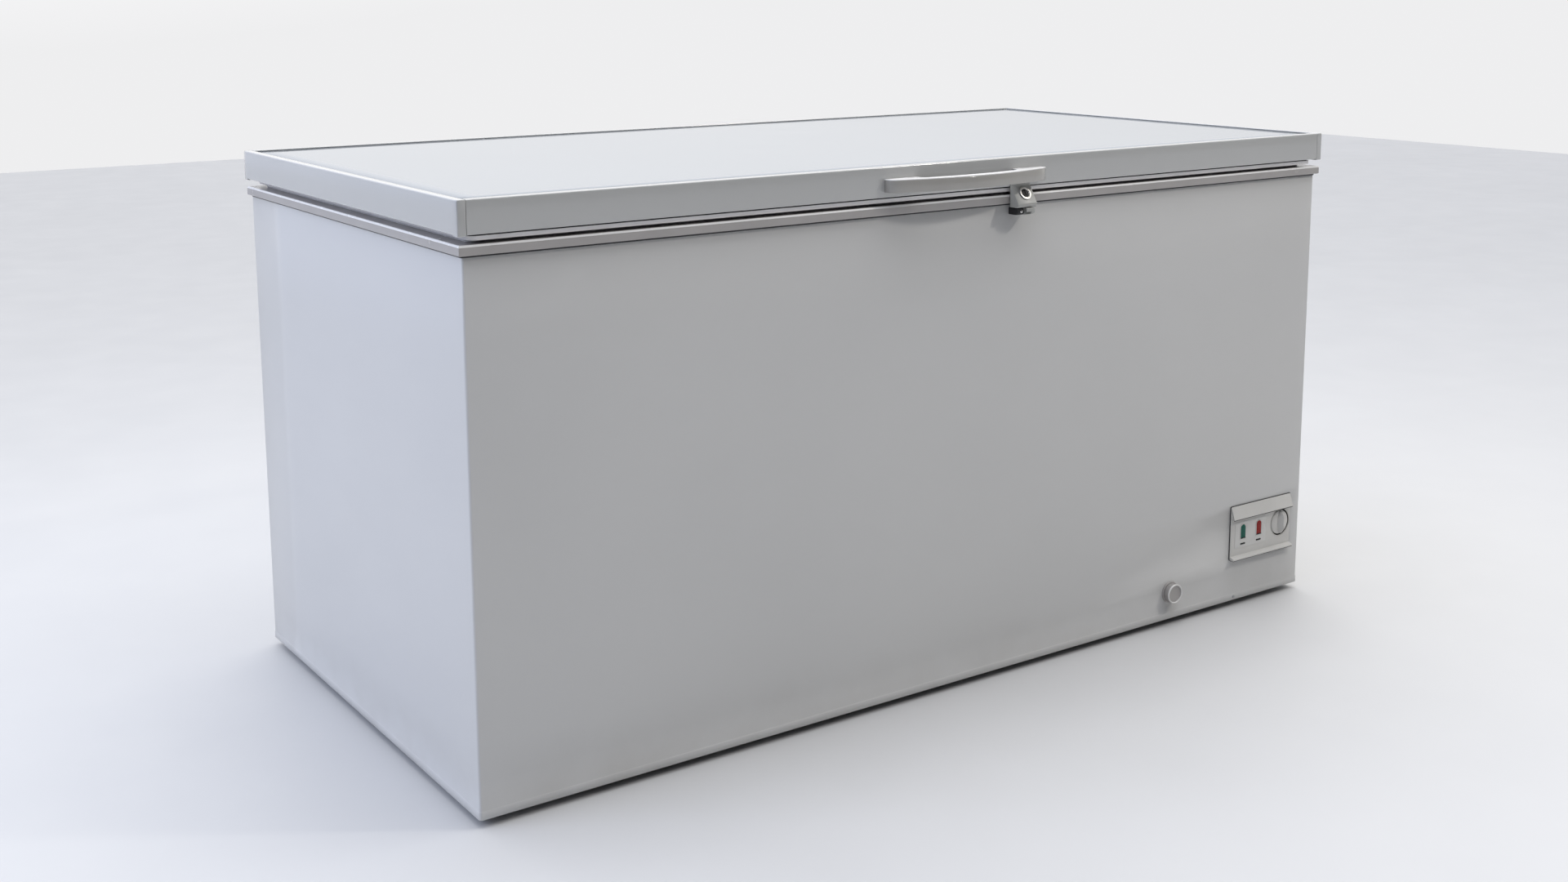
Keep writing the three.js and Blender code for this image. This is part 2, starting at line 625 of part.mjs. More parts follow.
// A bow of bar standing off the lid's front, flat-backed where its ends are fastened.
function lidHandle() {
  const { half, bottom, top, reach, endReach, gapHalf, thick } = HANDLE;
  const seat = LID_FRONT - GAP;
  const shape = new THREE.Shape();
  shape.moveTo(-half, seat);
  shape.lineTo(-half, seat - endReach + 5);
  shape.lineTo(-half + 7, seat - endReach);
  shape.quadraticCurveTo(-half * 0.45, seat - reach + GAP, 0, seat - reach + GAP);
  shape.quadraticCurveTo(half * 0.45, seat - reach + GAP, half - 7, seat - endReach);
  shape.lineTo(half, seat - endReach + 5);
  shape.lineTo(half, seat);
  shape.lineTo(gapHalf, seat);
  shape.quadraticCurveTo(gapHalf * 0.55, seat - reach + thick, 0, seat - reach + thick);
  shape.quadraticCurveTo(-gapHalf * 0.55, seat - reach + thick, -gapHalf, seat);
  const form = { depth: top - bottom, bevelEnabled: false, curveSegments: 8 };
  const bar = new THREE.ExtrudeGeometry(shape, form);
  return toSolid(bar.translate(0, 0, bottom));
}

// ---- lock ----
const slope = new THREE.Vector2(LOCK_FACE.bottomY - LOCK_FACE.topY, LOCK_FACE.bottomZ - LOCK.top);
slope.normalize();
const outward = new THREE.Vector2(slope.y, -slope.x); // out of the sloping face: (y, z)
const SLOPE_ANGLE = Math.atan2(outward.y, -outward.x);
const BARREL_FACE_Y = LOCK_FACE.topY + (slope.x / slope.y) * (BARREL.z - LOCK.top);
const BOLT = { start: 2, end: 16, depth: 9.5, thick: 3.6, halfWidth: 6 };

// A group whose -Y points out of the sloping face and whose origin is the barrel's centre on it.
function lockFrame() {
  const group = new THREE.Group();
  group.position.set(BARREL.x, BARREL_FACE_Y, BARREL.z);
  group.rotation.x = -SLOPE_ANGLE;
  freezer.add(group);
  group.updateMatrixWorld(true);
  return group;
}

function inLockFrame(geometry, group) {
  return toSolid(geometry.applyMatrix4(group.matrix));
}

function lockHousing(group) {
  const seat = LID_FRONT - GAP;
  const { topY, bottomY, bottomZ } = LOCK_FACE;
  const left = LOCK.x - LOCK.half;
  const right = LOCK.x + LOCK.half;
  const tab = LOCK.top + 6;
  const wedge = prismX([[seat, tab], [topY, tab], [topY, LOCK.top], [bottomY, bottomZ],
    [bottomY, LOCK.bottom + 3], [bottomY + 3, LOCK.bottom], [seat, LOCK.bottom]], left, right);
  const wall = 2.4;
  const hollow = prismX([[-400, LOCK.top - 3.5], [topY + 0.4, LOCK.top - 3.5], [bottomY + 3.2, bottomZ],
    [bottomY + 3.2, 700], [-400, 700]], left + wall, right - wall);
  const bore = inLockFrame(rod(BARREL.radius + GAP, 20, 24).translate(0, -6, 0), group);
  return cut(wedge, hollow, bore);
}

function lockBarrel() {
  const ring = turned([[0, 0.4], [BARREL.ring, 0.4], [BARREL.ring, 1.6], [BARREL.ring - 1.5, 2.4], [7, 2.4],
    [6.6, 1.8], [0, 1.8]], 24);
  const body = rod(BARREL.radius, 8.1, 24).translate(0, -7.3, 0);
  const keyway = new THREE.BoxGeometry(1.6, 6, 7).translate(0, 2.4, 0);
  return cut(join(toSolid(ring), toSolid(body)), toSolid(keyway));
}

function lockBolt() {
  const { start, end, depth, thick, halfWidth } = BOLT;
  const plate = new THREE.BoxGeometry(2 * halfWidth, thick, end - start);
  return plate.translate(0, depth, -(start + end) / 2);
}

function lockStrike(group) {
  const top = LOCK.bottom - 1;
  const low = LOCK.bottom - 12;
  const seat = -CASE_HALF_DEPTH - GAP;
  const face = LOCK_FACE.bottomY;
  const section = [[seat, low], [face + 4, low], [face, low + 3], [face, top - 1], [face + 1, top],
    [seat, top]];
  const block = prismX(section, LOCK.x - 15, LOCK.x + 15);
  const { depth, thick, halfWidth } = BOLT;
  const slot = new THREE.BoxGeometry(2 * halfWidth + 1, thick + 1, 60).translate(0, depth, -30);
  return block.subtract(inLockFrame(slot, group));
}

// ---- hinges ----
function hingeBracket(x) {
  const { y, z, half, rear } = HINGE;
  const front = CASE_HALF_DEPTH + GAP;
  const low = z - 97;
  const ear = [[front, low], [rear, low], [rear, z - 2], [rear - 10, z + 12], [y - 10, z + 12],
    [y - 13, z + 8], [y - 13, CASE_TOP - 1], [front, CASE_TOP - 1]];
  const wall = 2.5;
  const sides = join(prismX(ear, x - half, x - half + wall), prismX(ear, x + half - wall, x + half));
  const seat = box(x - half, x + half, front, front + wall, low, CASE_TOP - 1);
  const cover = box(x - half, x + half, rear - wall, rear, low, z - 2);
  return cut(join(sides, seat, cover), rodX(x - 60, x + 60, y, z, 4 + GAP, 16));
}

function hingePin(x) {
  const { y, z, half } = HINGE;
  const head = rodX(x + half + GAP, x + half + 3, y, z, 6.5, 16);
  return join(rodX(x - half - 3, x + half + 1, y, z, 4, 16), head);
}

function hingeSpring(x) {
  const turns = 4;
  const steps = turns * 9;
  const points = [];
  for (let i = 0; i <= steps; i += 1) {
    const angle = (2 * Math.PI * turns * i) / steps;
    points.push(new THREE.Vector3(x + 3 + (24 * i) / steps, HINGE.y + 9.5 * Math.cos(angle),
      HINGE.z + 9.5 * Math.sin(angle)));
  }
  return tube(points, 1.5, 3);
}

function hingeLeaf(x) {
  const { y, z } = HINGE;
  const back = LID_HALF_DEPTH + GAP;
  const left = x - 29;
  const right = x - 2;
  const plate = box(left, x + 29, back, back + 3, LID_BOTTOM + 3, LID_TOP - 4);
  const web = prismX([[back, LID_BOTTOM + 8], [back, LID_BOTTOM + 2], [y - 7.5, z + 1], [y + 2, z + 7.5],
    [back + 3, LID_BOTTOM + 12]], left, right);
  const knuckle = rodX(left, right, y, z, 8, 20);
  return cut(join(plate, web, knuckle), rodX(x - 60, x + 60, y, z, 4 + GAP, 16));
}

// ---- wheels ----
function casterBracket(x, y) {
  const cheek = WHEEL.width / 2 + 1.5;
  const plate = 2;
  const top = PAN_BOTTOM - GAP;
  const deck = box(x - 24, x + 24, y - cheek - plate, y + cheek + plate, top - plate, top);
  const cheeks = [-1, 1].map((side) => {
    const near = y + side * cheek;
    const far = y + side * (cheek + plate);
    return box(x - 11, x + 11, Math.min(near, far), Math.max(near, far), 13, top);
  });
  const axle = rodY(x, y - cheek - plate - 2, y + cheek + plate + 2, WHEEL.radius, WHEEL.axle, 16);
  return join(deck, ...cheeks, axle);
}

function wheel(x, y) {
  const rim = WHEEL.radius / Math.cos(Math.PI / WHEEL.sides);
  const half = WHEEL.width / 2;
  const bore = WHEEL.axle + GAP;
  const profile = [[bore, -half], [rim, -half], [rim, half], [bore, half], [bore, -half]];
  return turned(profile, WHEEL.sides).rotateY(Math.PI / WHEEL.sides).translate(x, y, WHEEL.radius);
}

// ---- assembly ----
add('front_panel', frontPanel(), 'casePaint');
add('left_side_panel', sidePanel(-1), 'casePaint');
add('right_side_panel', rightSidePanel(), 'casePaint');
add('back_panel', backPanel(), 'casePaint');
add('base_pan', basePan(), 'steel');
add('rear_compressor_cover', rearCover(), 'casePaint');
add('cord_gland', cordGland(), 'black');

add('insulation_foam', insulationFoam(), 'foam');
add('inner_liner', innerLiner(), 'liner');
add('evaporator_tube', evaporatorTube(), 'copper');
add('condenser_tube', condenserTube(), 'copper');

add('compressor_shell', compressorShell(), 'black');
add('compressor_mount', compressorMount(), 'steel');
add('relay_box', relayBox(), 'black');
add('filter_drier', filterDrier(), 'copper');

add('collar_front', collarRun(CASE_HALF_WIDTH, CASE_HALF_DEPTH), 'collar');
add('collar_back', collarRun(CASE_HALF_WIDTH, CASE_HALF_DEPTH), 'collar').rotation.z = Math.PI;
add('collar_right', collarRun(CASE_HALF_DEPTH, CASE_HALF_WIDTH), 'collar').rotation.z = Math.PI / 2;
add('collar_left', collarRun(CASE_HALF_DEPTH, CASE_HALF_WIDTH), 'collar').rotation.z = -Math.PI / 2;

add('control_bezel', controlBezel(), 'panel');
add('power_lens_green', lampLens(LAMP_X.green), 'green');
add('alarm_lens_red', lampLens(LAMP_X.red), 'red');
add('lamp_holder', lampHolder(), 'black');
add('thermostat_body', thermostatBody(), 'steel');
add('thermostat_knob', thermostatKnob(), 'panel');

add('drain_tube', drainTube(), 'collar');
add('drain_collar', drainCollar(), 'collar');
add('drain_cap', drainCap(), 'collar');
add('drain_stopper', drainStopper(), 'rubber');

add('lid_top_sheet', lidTopSheet(), 'lidPaint');
add('lid_foam', lidFoam(), 'foam');
add('lid_liner', lidLiner(), 'liner');
add('lid_gasket', lidGasket(), 'gasket');
add('lid_rail_front', lidEndRail(-1), 'frame');
add('lid_rail_back', lidEndRail(1), 'frame');
add('lid_rail_left', lidSideRail(-1), 'frame');
add('lid_rail_right', lidSideRail(1), 'frame');
add('lid_handle', lidHandle(), 'handle');

const lock = lockFrame();
add('lock_housing', lockHousing(lock), 'lockBody');
add('lock_strike', lockStrike(lock), 'lockBody');
add('lock_barrel', lockBarrel(), 'steel', lock).rotation.x = Math.PI;
add('lock_bolt', lockBolt(), 'steel', lock);

for (const [side, sign] of [['left', -1], ['right', 1]]) {
  const x = sign * HINGE.x;
  add(`hinge_bracket_${side}`, hingeBracket(x), 'steel');
  add(`hinge_pin_${side}`, hingePin(x), 'steel');
  add(`hinge_spring_${side}`, hingeSpring(x), 'steel');
  add(`hinge_leaf_${side}`, hingeLeaf(x), 'steel');
  for (const [end, way] of [['front', -1], ['back', 1]]) {
    add(`caster_bracket_${end}_${side}`, casterBracket(sign * WHEEL.x, way * WHEEL.y), 'steel');
    add(`caster_wheel_${end}_${side}`, wheel(sign * WHEEL.x, way * WHEEL.y), 'rubber');
  }
}

export default freezer;
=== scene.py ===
"""Chest freezer: the looks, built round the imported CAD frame. Metres, +Z up, front towards -Y."""
import json
import math

import bmesh
import bpy
from mathutils import Matrix, Vector


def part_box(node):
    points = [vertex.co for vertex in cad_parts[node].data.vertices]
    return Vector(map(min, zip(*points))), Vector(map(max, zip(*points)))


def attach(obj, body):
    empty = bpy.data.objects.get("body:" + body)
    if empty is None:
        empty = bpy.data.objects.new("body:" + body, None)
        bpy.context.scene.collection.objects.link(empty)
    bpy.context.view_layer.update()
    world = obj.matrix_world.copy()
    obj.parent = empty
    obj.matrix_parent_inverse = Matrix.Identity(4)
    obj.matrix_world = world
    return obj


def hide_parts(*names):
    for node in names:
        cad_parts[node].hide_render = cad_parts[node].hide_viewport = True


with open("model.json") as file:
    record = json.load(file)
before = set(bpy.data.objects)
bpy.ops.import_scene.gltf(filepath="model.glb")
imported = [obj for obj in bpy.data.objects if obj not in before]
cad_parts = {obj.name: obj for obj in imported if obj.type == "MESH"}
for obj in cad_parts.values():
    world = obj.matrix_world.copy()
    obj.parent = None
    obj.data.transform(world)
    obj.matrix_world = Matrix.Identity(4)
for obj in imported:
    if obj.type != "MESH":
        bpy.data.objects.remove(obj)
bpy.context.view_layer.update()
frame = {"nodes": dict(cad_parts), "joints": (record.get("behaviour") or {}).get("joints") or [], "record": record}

MM = 0.001


# ---------------------------------------------------------------- camera, floor and light
def make_camera():
    azimuth, pitch, roll = (math.radians(a) for a in (34.635, 9.189, -0.219))
    forward = Vector((math.sin(azimuth) * math.cos(pitch), math.cos(azimuth) * math.cos(pitch),
            -math.sin(pitch)))
    level = Vector((math.cos(azimuth), -math.sin(azimuth), 0))
    upright = level.cross(forward)
    right = level * math.cos(roll) + upright * math.sin(roll)
    up = upright * math.cos(roll) - level * math.sin(roll)
    data = bpy.data.cameras.new("camera")
    data.lens = 40.18
    data.shift_y = -0.11
    camera = bpy.data.objects.new("camera", data)
    camera.matrix_world = Matrix((
        (right.x, up.x, -forward.x, -1.7317),
        (right.y, up.y, -forward.y, -2.4397),
        (right.z, up.z, -forward.z, 1.1105),
        (0, 0, 0, 1),
    ))
    bpy.context.scene.collection.objects.link(camera)
    bpy.context.scene.camera = camera


def area_light(name, place, aim, size, power, colour):
    data = bpy.data.lights.new(name, "AREA")
    data.shape = "RECTANGLE"
    data.size, data.size_y = size
    data.energy = power
    data.color = colour
    light = bpy.data.objects.new(name, data)
    light.location = place
    light.rotation_euler = (Vector(aim) - Vector(place)).to_track_quat("-Z", "Y").to_euler()
    bpy.context.scene.collection.objects.link(light)


def facing(tree, direction, low, high, source):
    """How far a background direction turns towards another, as a value from low to high."""
    place = tree.nodes.new("ShaderNodeTexCoord").outputs["Generated"]
    dot = tree.nodes.new("ShaderNodeVectorMath")
    dot.operation = "DOT_PRODUCT"
    tree.links.new(place, dot.inputs[0])
    dot.inputs[1].default_value = Vector(direction).normalized()
    return spread(tree, dot.outputs["Value"], low, high, source)


def make_world():
    """A soft studio: bright behind the freezer, dim in front of it, bluish on its left."""
    world = bpy.data.worlds.new("studio")
    world.use_nodes = True
    tree = world.node_tree
    background = tree.nodes["Background"]
    blue = facing(tree, (-1, -0.1, 0), 0, 1, (-0.1, 0.8))
    tree.links.new(blend(tree, blue, (0.985, 0.985, 0.995), (0.64, 0.73, 1.0)), background.inputs["Color"])
    total = tree.nodes.new("ShaderNodeMath")
    total.operation = "ADD"
    tree.links.new(facing(tree, (0.45, 0.9, 0.1), 0.07, 0.87, (-0.35, 0.55)), total.inputs[0])
    tree.links.new(facing(tree, (0, 0.3, 1), 0, 0.95, (0.25, 0.95)), total.inputs[1])
    tree.links.new(total.outputs[0], background.inputs["Strength"])
    bpy.context.scene.world = world


def make_lights():
    area_light("key_upper_right", (2.6, -2.6, 3.4), (0.2, -0.4, 0.6), (0.22, 0.22), 34, (1.0, 0.96, 0.90))
    area_light("left_window", (-3.6, 0.4, 2.0), (-0.8, 0.1, 0.7), (1.8, 1.8), 43, (0.74, 0.81, 1.0))
    area_light("ceiling", (0.1, -0.6, 2.8), (0.1, -0.6, 0), (2.6, 1.5), 24, (0.99, 0.99, 1.0))


# ---------------------------------------------------------------- materials
def graph(name):
    material = bpy.data.materials.new(name)
    material.use_nodes = True
    tree = material.node_tree
    shader = tree.nodes["Principled BSDF"]
    place = tree.nodes.new("ShaderNodeTexCoord").outputs["Object"]
    return material, tree, shader, place


def noise(tree, place, scale, detail=3.0, stretch=None):
    if stretch:
        mapping = tree.nodes.new("ShaderNodeMapping")
        mapping.inputs["Scale"].default_value = stretch
        tree.links.new(place, mapping.inputs["Vector"])
        place = mapping.outputs["Vector"]
    node = tree.nodes.new("ShaderNodeTexNoise")
    node.inputs["Scale"].default_value = scale
    node.inputs["Detail"].default_value = detail
    tree.links.new(place, node.inputs["Vector"])
    return node.outputs["Fac"]


def spread(tree, value, low, high, source=(0.3, 0.7)):
    node = tree.nodes.new("ShaderNodeMapRange")
    node.inputs["From Min"].default_value, node.inputs["From Max"].default_value = source
    node.inputs["To Min"].default_value, node.inputs["To Max"].default_value = low, high
    tree.links.new(value, node.inputs["Value"])
    return node.outputs["Result"]


def blend(tree, factor, first, second):
    node = tree.nodes.new("ShaderNodeMix")
    node.data_type = "RGBA"
    tree.links.new(factor, node.inputs["Factor"])
    for socket, value in ((node.inputs[6], first), (node.inputs[7], second)):
        if isinstance(value, tuple):
            socket.default_value = (*value, 1)
        else:
            tree.links.new(value, socket)
    return node.outputs[2]


def bump(tree, shader, layers):
    last = None
    for height, strength, distance in layers:
        node = tree.nodes.new("ShaderNodeBump")
        node.inputs["Strength"].default_value = strength
        node.inputs["Distance"].default_value = distance
        tree.links.new(height, node.inputs["Height"])
        if last:
            tree.links.new(last, node.inputs["Normal"])
        last = node.outputs["Normal"]
    tree.links.new(last, shader.inputs["Normal"])


def height_of(tree, place):
    node = tree.nodes.new("ShaderNodeSeparateXYZ")
    tree.links.new(place, node.inputs["Vector"])
    return node.outputs["Z"]


def scaled(colour, factor):
    return tuple(channel * factor for channel in colour)


def enamel(name, colour, rough, coat, peel=0.05, wave=0.1):
    """Sprayed sheet metal: cloudy tone, a little dust low down, wiped smears, orange peel and a slow wave."""
    material, tree, shader, place = graph(name)
    cloud = spread(tree, noise(tree, place, 2.2, 5), 0, 1)
    tone = blend(tree, cloud, colour, scaled(colour, 0.965))
    low = spread(tree, height_of(tree, place), 0.22, 0, (0.012, 0.11))
    dust = tree.nodes.new("ShaderNodeMath")
    dust.operation = "MULTIPLY"
    tree.links.new(spread(tree, noise(tree, place, 14, 6), 0.1, 1, (0.35, 0.7)), dust.inputs[0])
    tree.links.new(low, dust.inputs[1])
    tree.links.new(blend(tree, dust.outputs[0], tone, (0.42, 0.40, 0.36)), shader.inputs["Base Color"])
    smear = noise(tree, place, 5, 1.5, (1, 1, 2.5))
    tree.links.new(spread(tree, smear, rough * 0.92, rough * 1.12), shader.inputs["Roughness"])
    shader.inputs["Coat Weight"].default_value = coat
    shader.inputs["Coat Roughness"].default_value = 0.12
    bump(tree, shader, [(noise(tree, place, 3.1, 1), wave, 0.004), (noise(tree, place, 420, 2), peel,
        0.0004)])
    return material


def moulded(name, colour, rough, grain=0.12, scale=900, mottled=0.93, gloss=0.0):
    """Moulded plastic: fine spark-eroded grain, a little mottled, with rubbed patches."""
    material, tree, shader, place = graph(name)
    mottle = spread(tree, noise(tree, place, 14, 4), 0, 1)
    tree.links.new(blend(tree, mottle, colour, scaled(colour, mottled)), shader.inputs["Base Color"])
    rubbed = noise(tree, place, 22, 5)
    tree.links.new(spread(tree, rubbed, rough * 0.8, rough * 1.2), shader.inputs["Roughness"])
    shader.inputs["Specular IOR Level"].default_value = 0.45
    shader.inputs["Coat Weight"].default_value = gloss
    shader.inputs["Coat Roughness"].default_value = 0.1
    bump(tree, shader, [(noise(tree, place, scale, 2), grain, 0.0005)])
    return material


def metal(name, colour, rough, brushed=(1, 1, 18), scale=60, tarnish=0.8):
    material, tree, shader, place = graph(name)
    patch = spread(tree, noise(tree, place, 30, 5), 0, 1)
    tree.links.new(blend(tree, patch, colour, scaled(colour, tarnish)), shader.inputs["Base Color"])
    shader.inputs["Metallic"].default_value = 1.0
    grain = noise(tree, place, scale, 4, brushed)
    tree.links.new(spread(tree, grain, rough * 0.75, rough * 1.3), shader.inputs["Roughness"])
    bump(tree, shader, [(grain, 0.08, 0.0004)])
    return material


def embossed_sheet(name, colour):
    """Stucco-embossed liner sheet."""
    material, tree, shader, place = graph(name)
    cells = tree.nodes.new("ShaderNodeTexVoronoi")
    cells.inputs["Scale"].default_value = 110
    tree.links.new(place, cells.inputs["Vector"])
    tone = spread(tree, noise(tree, place, 6, 4), 0, 1)
    tree.links.new(blend(tree, tone, colour, scaled(colour, 0.93)), shader.inputs["Base Color"])
    tree.links.new(spread(tree, noise(tree, place, 40, 3), 0.25, 0.42), shader.inputs["Roughness"])
    bump(tree, shader, [(cells.outputs["Distance"], 0.12, 0.0008)])
    return material


def foam_material():
    material, tree, shader, place = graph("foam")
    cells = tree.nodes.new("ShaderNodeTexVoronoi")
    cells.inputs["Scale"].default_value = 420
    tree.links.new(place, cells.inputs["Vector"])
    patch = spread(tree, noise(tree, place, 12, 5), 0, 1)
    tree.links.new(blend(tree, patch, (0.78, 0.66, 0.36), (0.62, 0.48, 0.24)), shader.inputs["Base Color"])
    tree.links.new(spread(tree, cells.outputs["Distance"], 0.8, 0.95, (0, 0.6)), shader.inputs["Roughness"])
    bump(tree, shader, [(cells.outputs["Distance"], 0.5, 0.001)])
    return material


def lens_material(name, deep, bright):
    """A tinted lens, mottled by fine prisms behind its face."""
    material, tree, shader, place = graph(name)
    facets = noise(tree, place, 700, 1, (1, 1, 3))
    tree.links.new(blend(tree, spread(tree, facets, 0, 1), deep, bright), shader.inputs["Base Color"])
    tree.links.new(spread(tree, noise(tree, place, 90, 3), 0.14, 0.26), shader.inputs["Roughness"])
    shader.inputs["Specular IOR Level"].default_value = 0.2
    bump(tree, shader, [(facets, 0.08, 0.0003)])
    return material


def floor_material():
    material, tree, shader, place = graph("studio_floor")
    tone = spread(tree, noise(tree, place, 1.2, 4), 0, 1)
    tree.links.new(blend(tree, tone, (0.66, 0.66, 0.657), (0.64, 0.64, 0.637)), shader.inputs["Base Color"])
    tree.links.new(spread(tree, noise(tree, place, 6, 4), 0.5, 0.65), shader.inputs["Roughness"])
    return material


MATERIALS = {
    "case_paint": enamel("case_paint", (0.64, 0.638, 0.625), 0.42, 0.25),
    # The top sheet is the same white paint as the frame; its darker, bluish base colour is painted shade and a
    # painted bluish reflection against the strong light on the top.
    "lid_gloss_paint": enamel("lid_gloss_paint", (0.31, 0.334, 0.36), 0.11, 0.1, 0.02, 0.10),
    "lid_frame": enamel("lid_frame", (0.50, 0.503, 0.492), 0.2, 1.0),
    "collar_plastic": moulded("collar_plastic", (0.43, 0.41, 0.395), 0.24, 0.04),
    "panel_plastic": moulded("panel_plastic", (0.66, 0.648, 0.615), 0.38, 0.06),
    "label_film": moulded("label_film", (0.68, 0.672, 0.645), 0.3, 0.02),
    "handle_plastic": moulded("handle_plastic", (0.40, 0.387, 0.36), 0.2, 0.03, gloss=1.0),
    "lock_plastic": moulded("lock_plastic", (0.43, 0.433, 0.41), 0.36, 0.08),
    "gasket_vinyl": moulded("gasket_vinyl", (0.86, 0.84, 0.83), 0.45, 0.05, 500),
    "foam": foam_material(),
    "liner_sheet": embossed_sheet("liner_sheet", (0.78, 0.79, 0.80)),
    "steel": metal("steel", (0.55, 0.55, 0.56), 0.38),
    "bright_steel": metal("bright_steel", (0.75, 0.74, 0.72), 0.22, (1, 14, 1), 90, 0.7),
    "copper_tube": metal("copper_tube", (0.72, 0.36, 0.22), 0.3, (1, 1, 1), 60, 0.6),
    "black_enamel": enamel("black_enamel", (0.025, 0.025, 0.028), 0.35, 0.2),
    "black_plastic": moulded("black_plastic", (0.022, 0.022, 0.024), 0.55, 0.2),
    "wheel_rubber": moulded("wheel_rubber", (0.035, 0.035, 0.036), 0.75, 0.25, 500, 0.7),
    "green_lens": lens_material("green_lens", (0.002, 0.075, 0.050), (0.004, 0.135, 0.095)),
    "red_lens": lens_material("red_lens", (0.20, 0.008, 0.005), (0.34, 0.016, 0.011)),
    # Black for print (the pointer and lamp dashes) and for painted shade (the knob cup and lens sills).
    "print_and_painted_shade_black": moulded("print_and_painted_shade_black", (0.014, 0.014, 0.014), 0.6, 0.02),
    # Pale plastic for painted highlights: the collar's top edge, the handle's top and the drain cap's rim.
    "painted_highlight_plastic": moulded("painted_highlight_plastic", (0.86, 0.85, 0.83), 0.26, 0.03),
    "satin_ring": metal("satin_ring", (0.80, 0.78, 0.74), 0.42, (1, 1, 1), 200, 0.9),
    "pale_ring": moulded("pale_ring", (0.68, 0.67, 0.64), 0.3, 0.03),
}


# ---------------------------------------------------------------- shapes
def arc(centre, radius, start, end, steps):
    """Points on an arc, in degrees, both ends included."""
    turns = [math.radians(start + (end - start) * i / steps) for i in range(steps + 1)]
    return [(centre[0] + radius * math.cos(t), centre[1] + radius * math.sin(t)) for t in turns]


def rounded_rect(left, right, low, high, radius, steps=5):
    return (arc((right - radius, high - radius), radius, 0, 90, steps) + arc((left + radius, high - radius),
        radius, 90, 180, steps) + arc((left + radius, low + radius), radius, 180, 270, steps)
        + arc((right - radius, low + radius), radius, 270, 360, steps))


AXES = {
    "x": Matrix(((0, 0, 1, 0), (1, 0, 0, 0), (0, 1, 0, 0), (0, 0, 0, 1))),  # outline (y, z), drawn along x
    "y": Matrix(((1, 0, 0, 0), (0, 0, -1, 0), (0, 1, 0, 0), (0, 0, 0, 1))),  # outline (x, z), drawn along -y
    "z": Matrix.Identity(4),  # outline (x, y), drawn along z
}


class Shape:
    """Collects closed solids, in millimetres, for one piece."""

    def __init__(self):
        self.verts = []
        self.faces = []
        self.solids = []

    def add(self, verts, faces, matrix=None):
        base = len(self.verts)
        matrix = matrix or Matrix.Identity(4)
        self.verts += [matrix @ Vector(v) for v in verts]
        self.faces += [[base + i for i in face] for face in faces]
        self.solids.append((base, len(self.verts)))
        return self

    def loft(self, rings, matrix=None, close=False, caps=True):
        """Skins rings of equal length. close joins the last ring to the first, else the ends are capped."""
        count = len(rings[0])
        verts = [point for ring in rings for point in ring]
        faces = []
        last = len(rings) if close else len(rings) - 1
        for i in range(last):
            a, b = i * count, (i + 1) % len(rings) * count
            faces += [(a + j, a + (j + 1) % count, b + (j + 1) % count, b + j) for j in range(count)]
        if caps and not close:
            top = (len(rings) - 1) * count
            faces += [list(range(count))[::-1], list(range(top, top + count))]
        return self.add(verts, faces, matrix)

    def prism(self, outline, start, end, axis="z"):
        """An outline drawn along an axis from start to end."""
        turn = AXES[axis]
        if axis == "y":
            start, end = -end, -start
        return self.loft([[(u, v, w) for u, v in outline] for w in (start, end)], turn)

    def box(self, x0, x1, y0, y1, z0, z1):
        return self.prism([(x0, y0), (x1, y0), (x1, y1), (x0, y1)], z0, z1)

    def turned(self, profile, matrix, segments=32):
        """A profile of (radius, height) turned about local z, closed on itself or on the axis."""
        rings = []
        for i in range(segments):
            t = 2 * math.pi * i / segments
            rings.append([(r * math.cos(t), r * math.sin(t), h) for r, h in profile])
        count = len(profile)
        on_axis = profile[0][0] == 0 and profile[-1][0] == 0
        verts = [point for ring in rings for point in ring]
        faces = []
        for i in range(segments):
            a, b = i * count, (i + 1) % segments * count
            steps = count - 1 if on_axis else count
            faces += [(a + j, b + j, b + (j + 1) % count, a + (j + 1) % count) for j in range(steps)]
        return self.add(verts, faces, matrix)

    def piece(self, name, material, body="root", replaces=(), bevel=0.0, segments=3, smooth=40, slot=None):
        mesh = bpy.data.meshes.new(name)
        bm = bmesh.new()
        points = [bm.verts.new(v * MM) for v in self.verts]
        for face in self.faces:
            if len({tuple(points[i].co) for i in face}) > 2:
                try:
                    bm.faces.new([points[i] for i in face])
                except ValueError:
                    continue
        for start, end in self.solids:
            bmesh.ops.remove_doubles(bm, verts=[v for v in points[start:end] if v.is_valid], dist=1e-6)
        bmesh.ops.dissolve_degenerate(bm, edges=bm.edges, dist=1e-6)
        bmesh.ops.recalc_face_normals(bm, faces=bm.faces)
        bm.to_mesh(mesh)
        bm.free()
        return finished(name, mesh, material, body, replaces, bevel, segments, smooth)


def finished(name, mesh, material, body, replaces, bevel=0.0, segments=3, smooth=40):
    for polygon in mesh.polygons:
        polygon.use_smooth = True
    piece = bpy.data.objects.new(name, mesh)
    bpy.context.scene.collection.objects.link(piece)
    mesh.materials.append(MATERIALS[material])
    if bevel:
        modifier = piece.modifiers.new("edges", "BEVEL")
        modifier.width = bevel * MM
        modifier.segments = segments
        modifier.limit_method = "ANGLE"
        modifier.angle_limit = math.radians(smooth)
        modifier.harden_normals = True
    else:
        mesh.set_sharp_from_angle(angle=math.radians(smooth))
    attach(piece, body)
    if replaces:
        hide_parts(*replaces)
    return piece


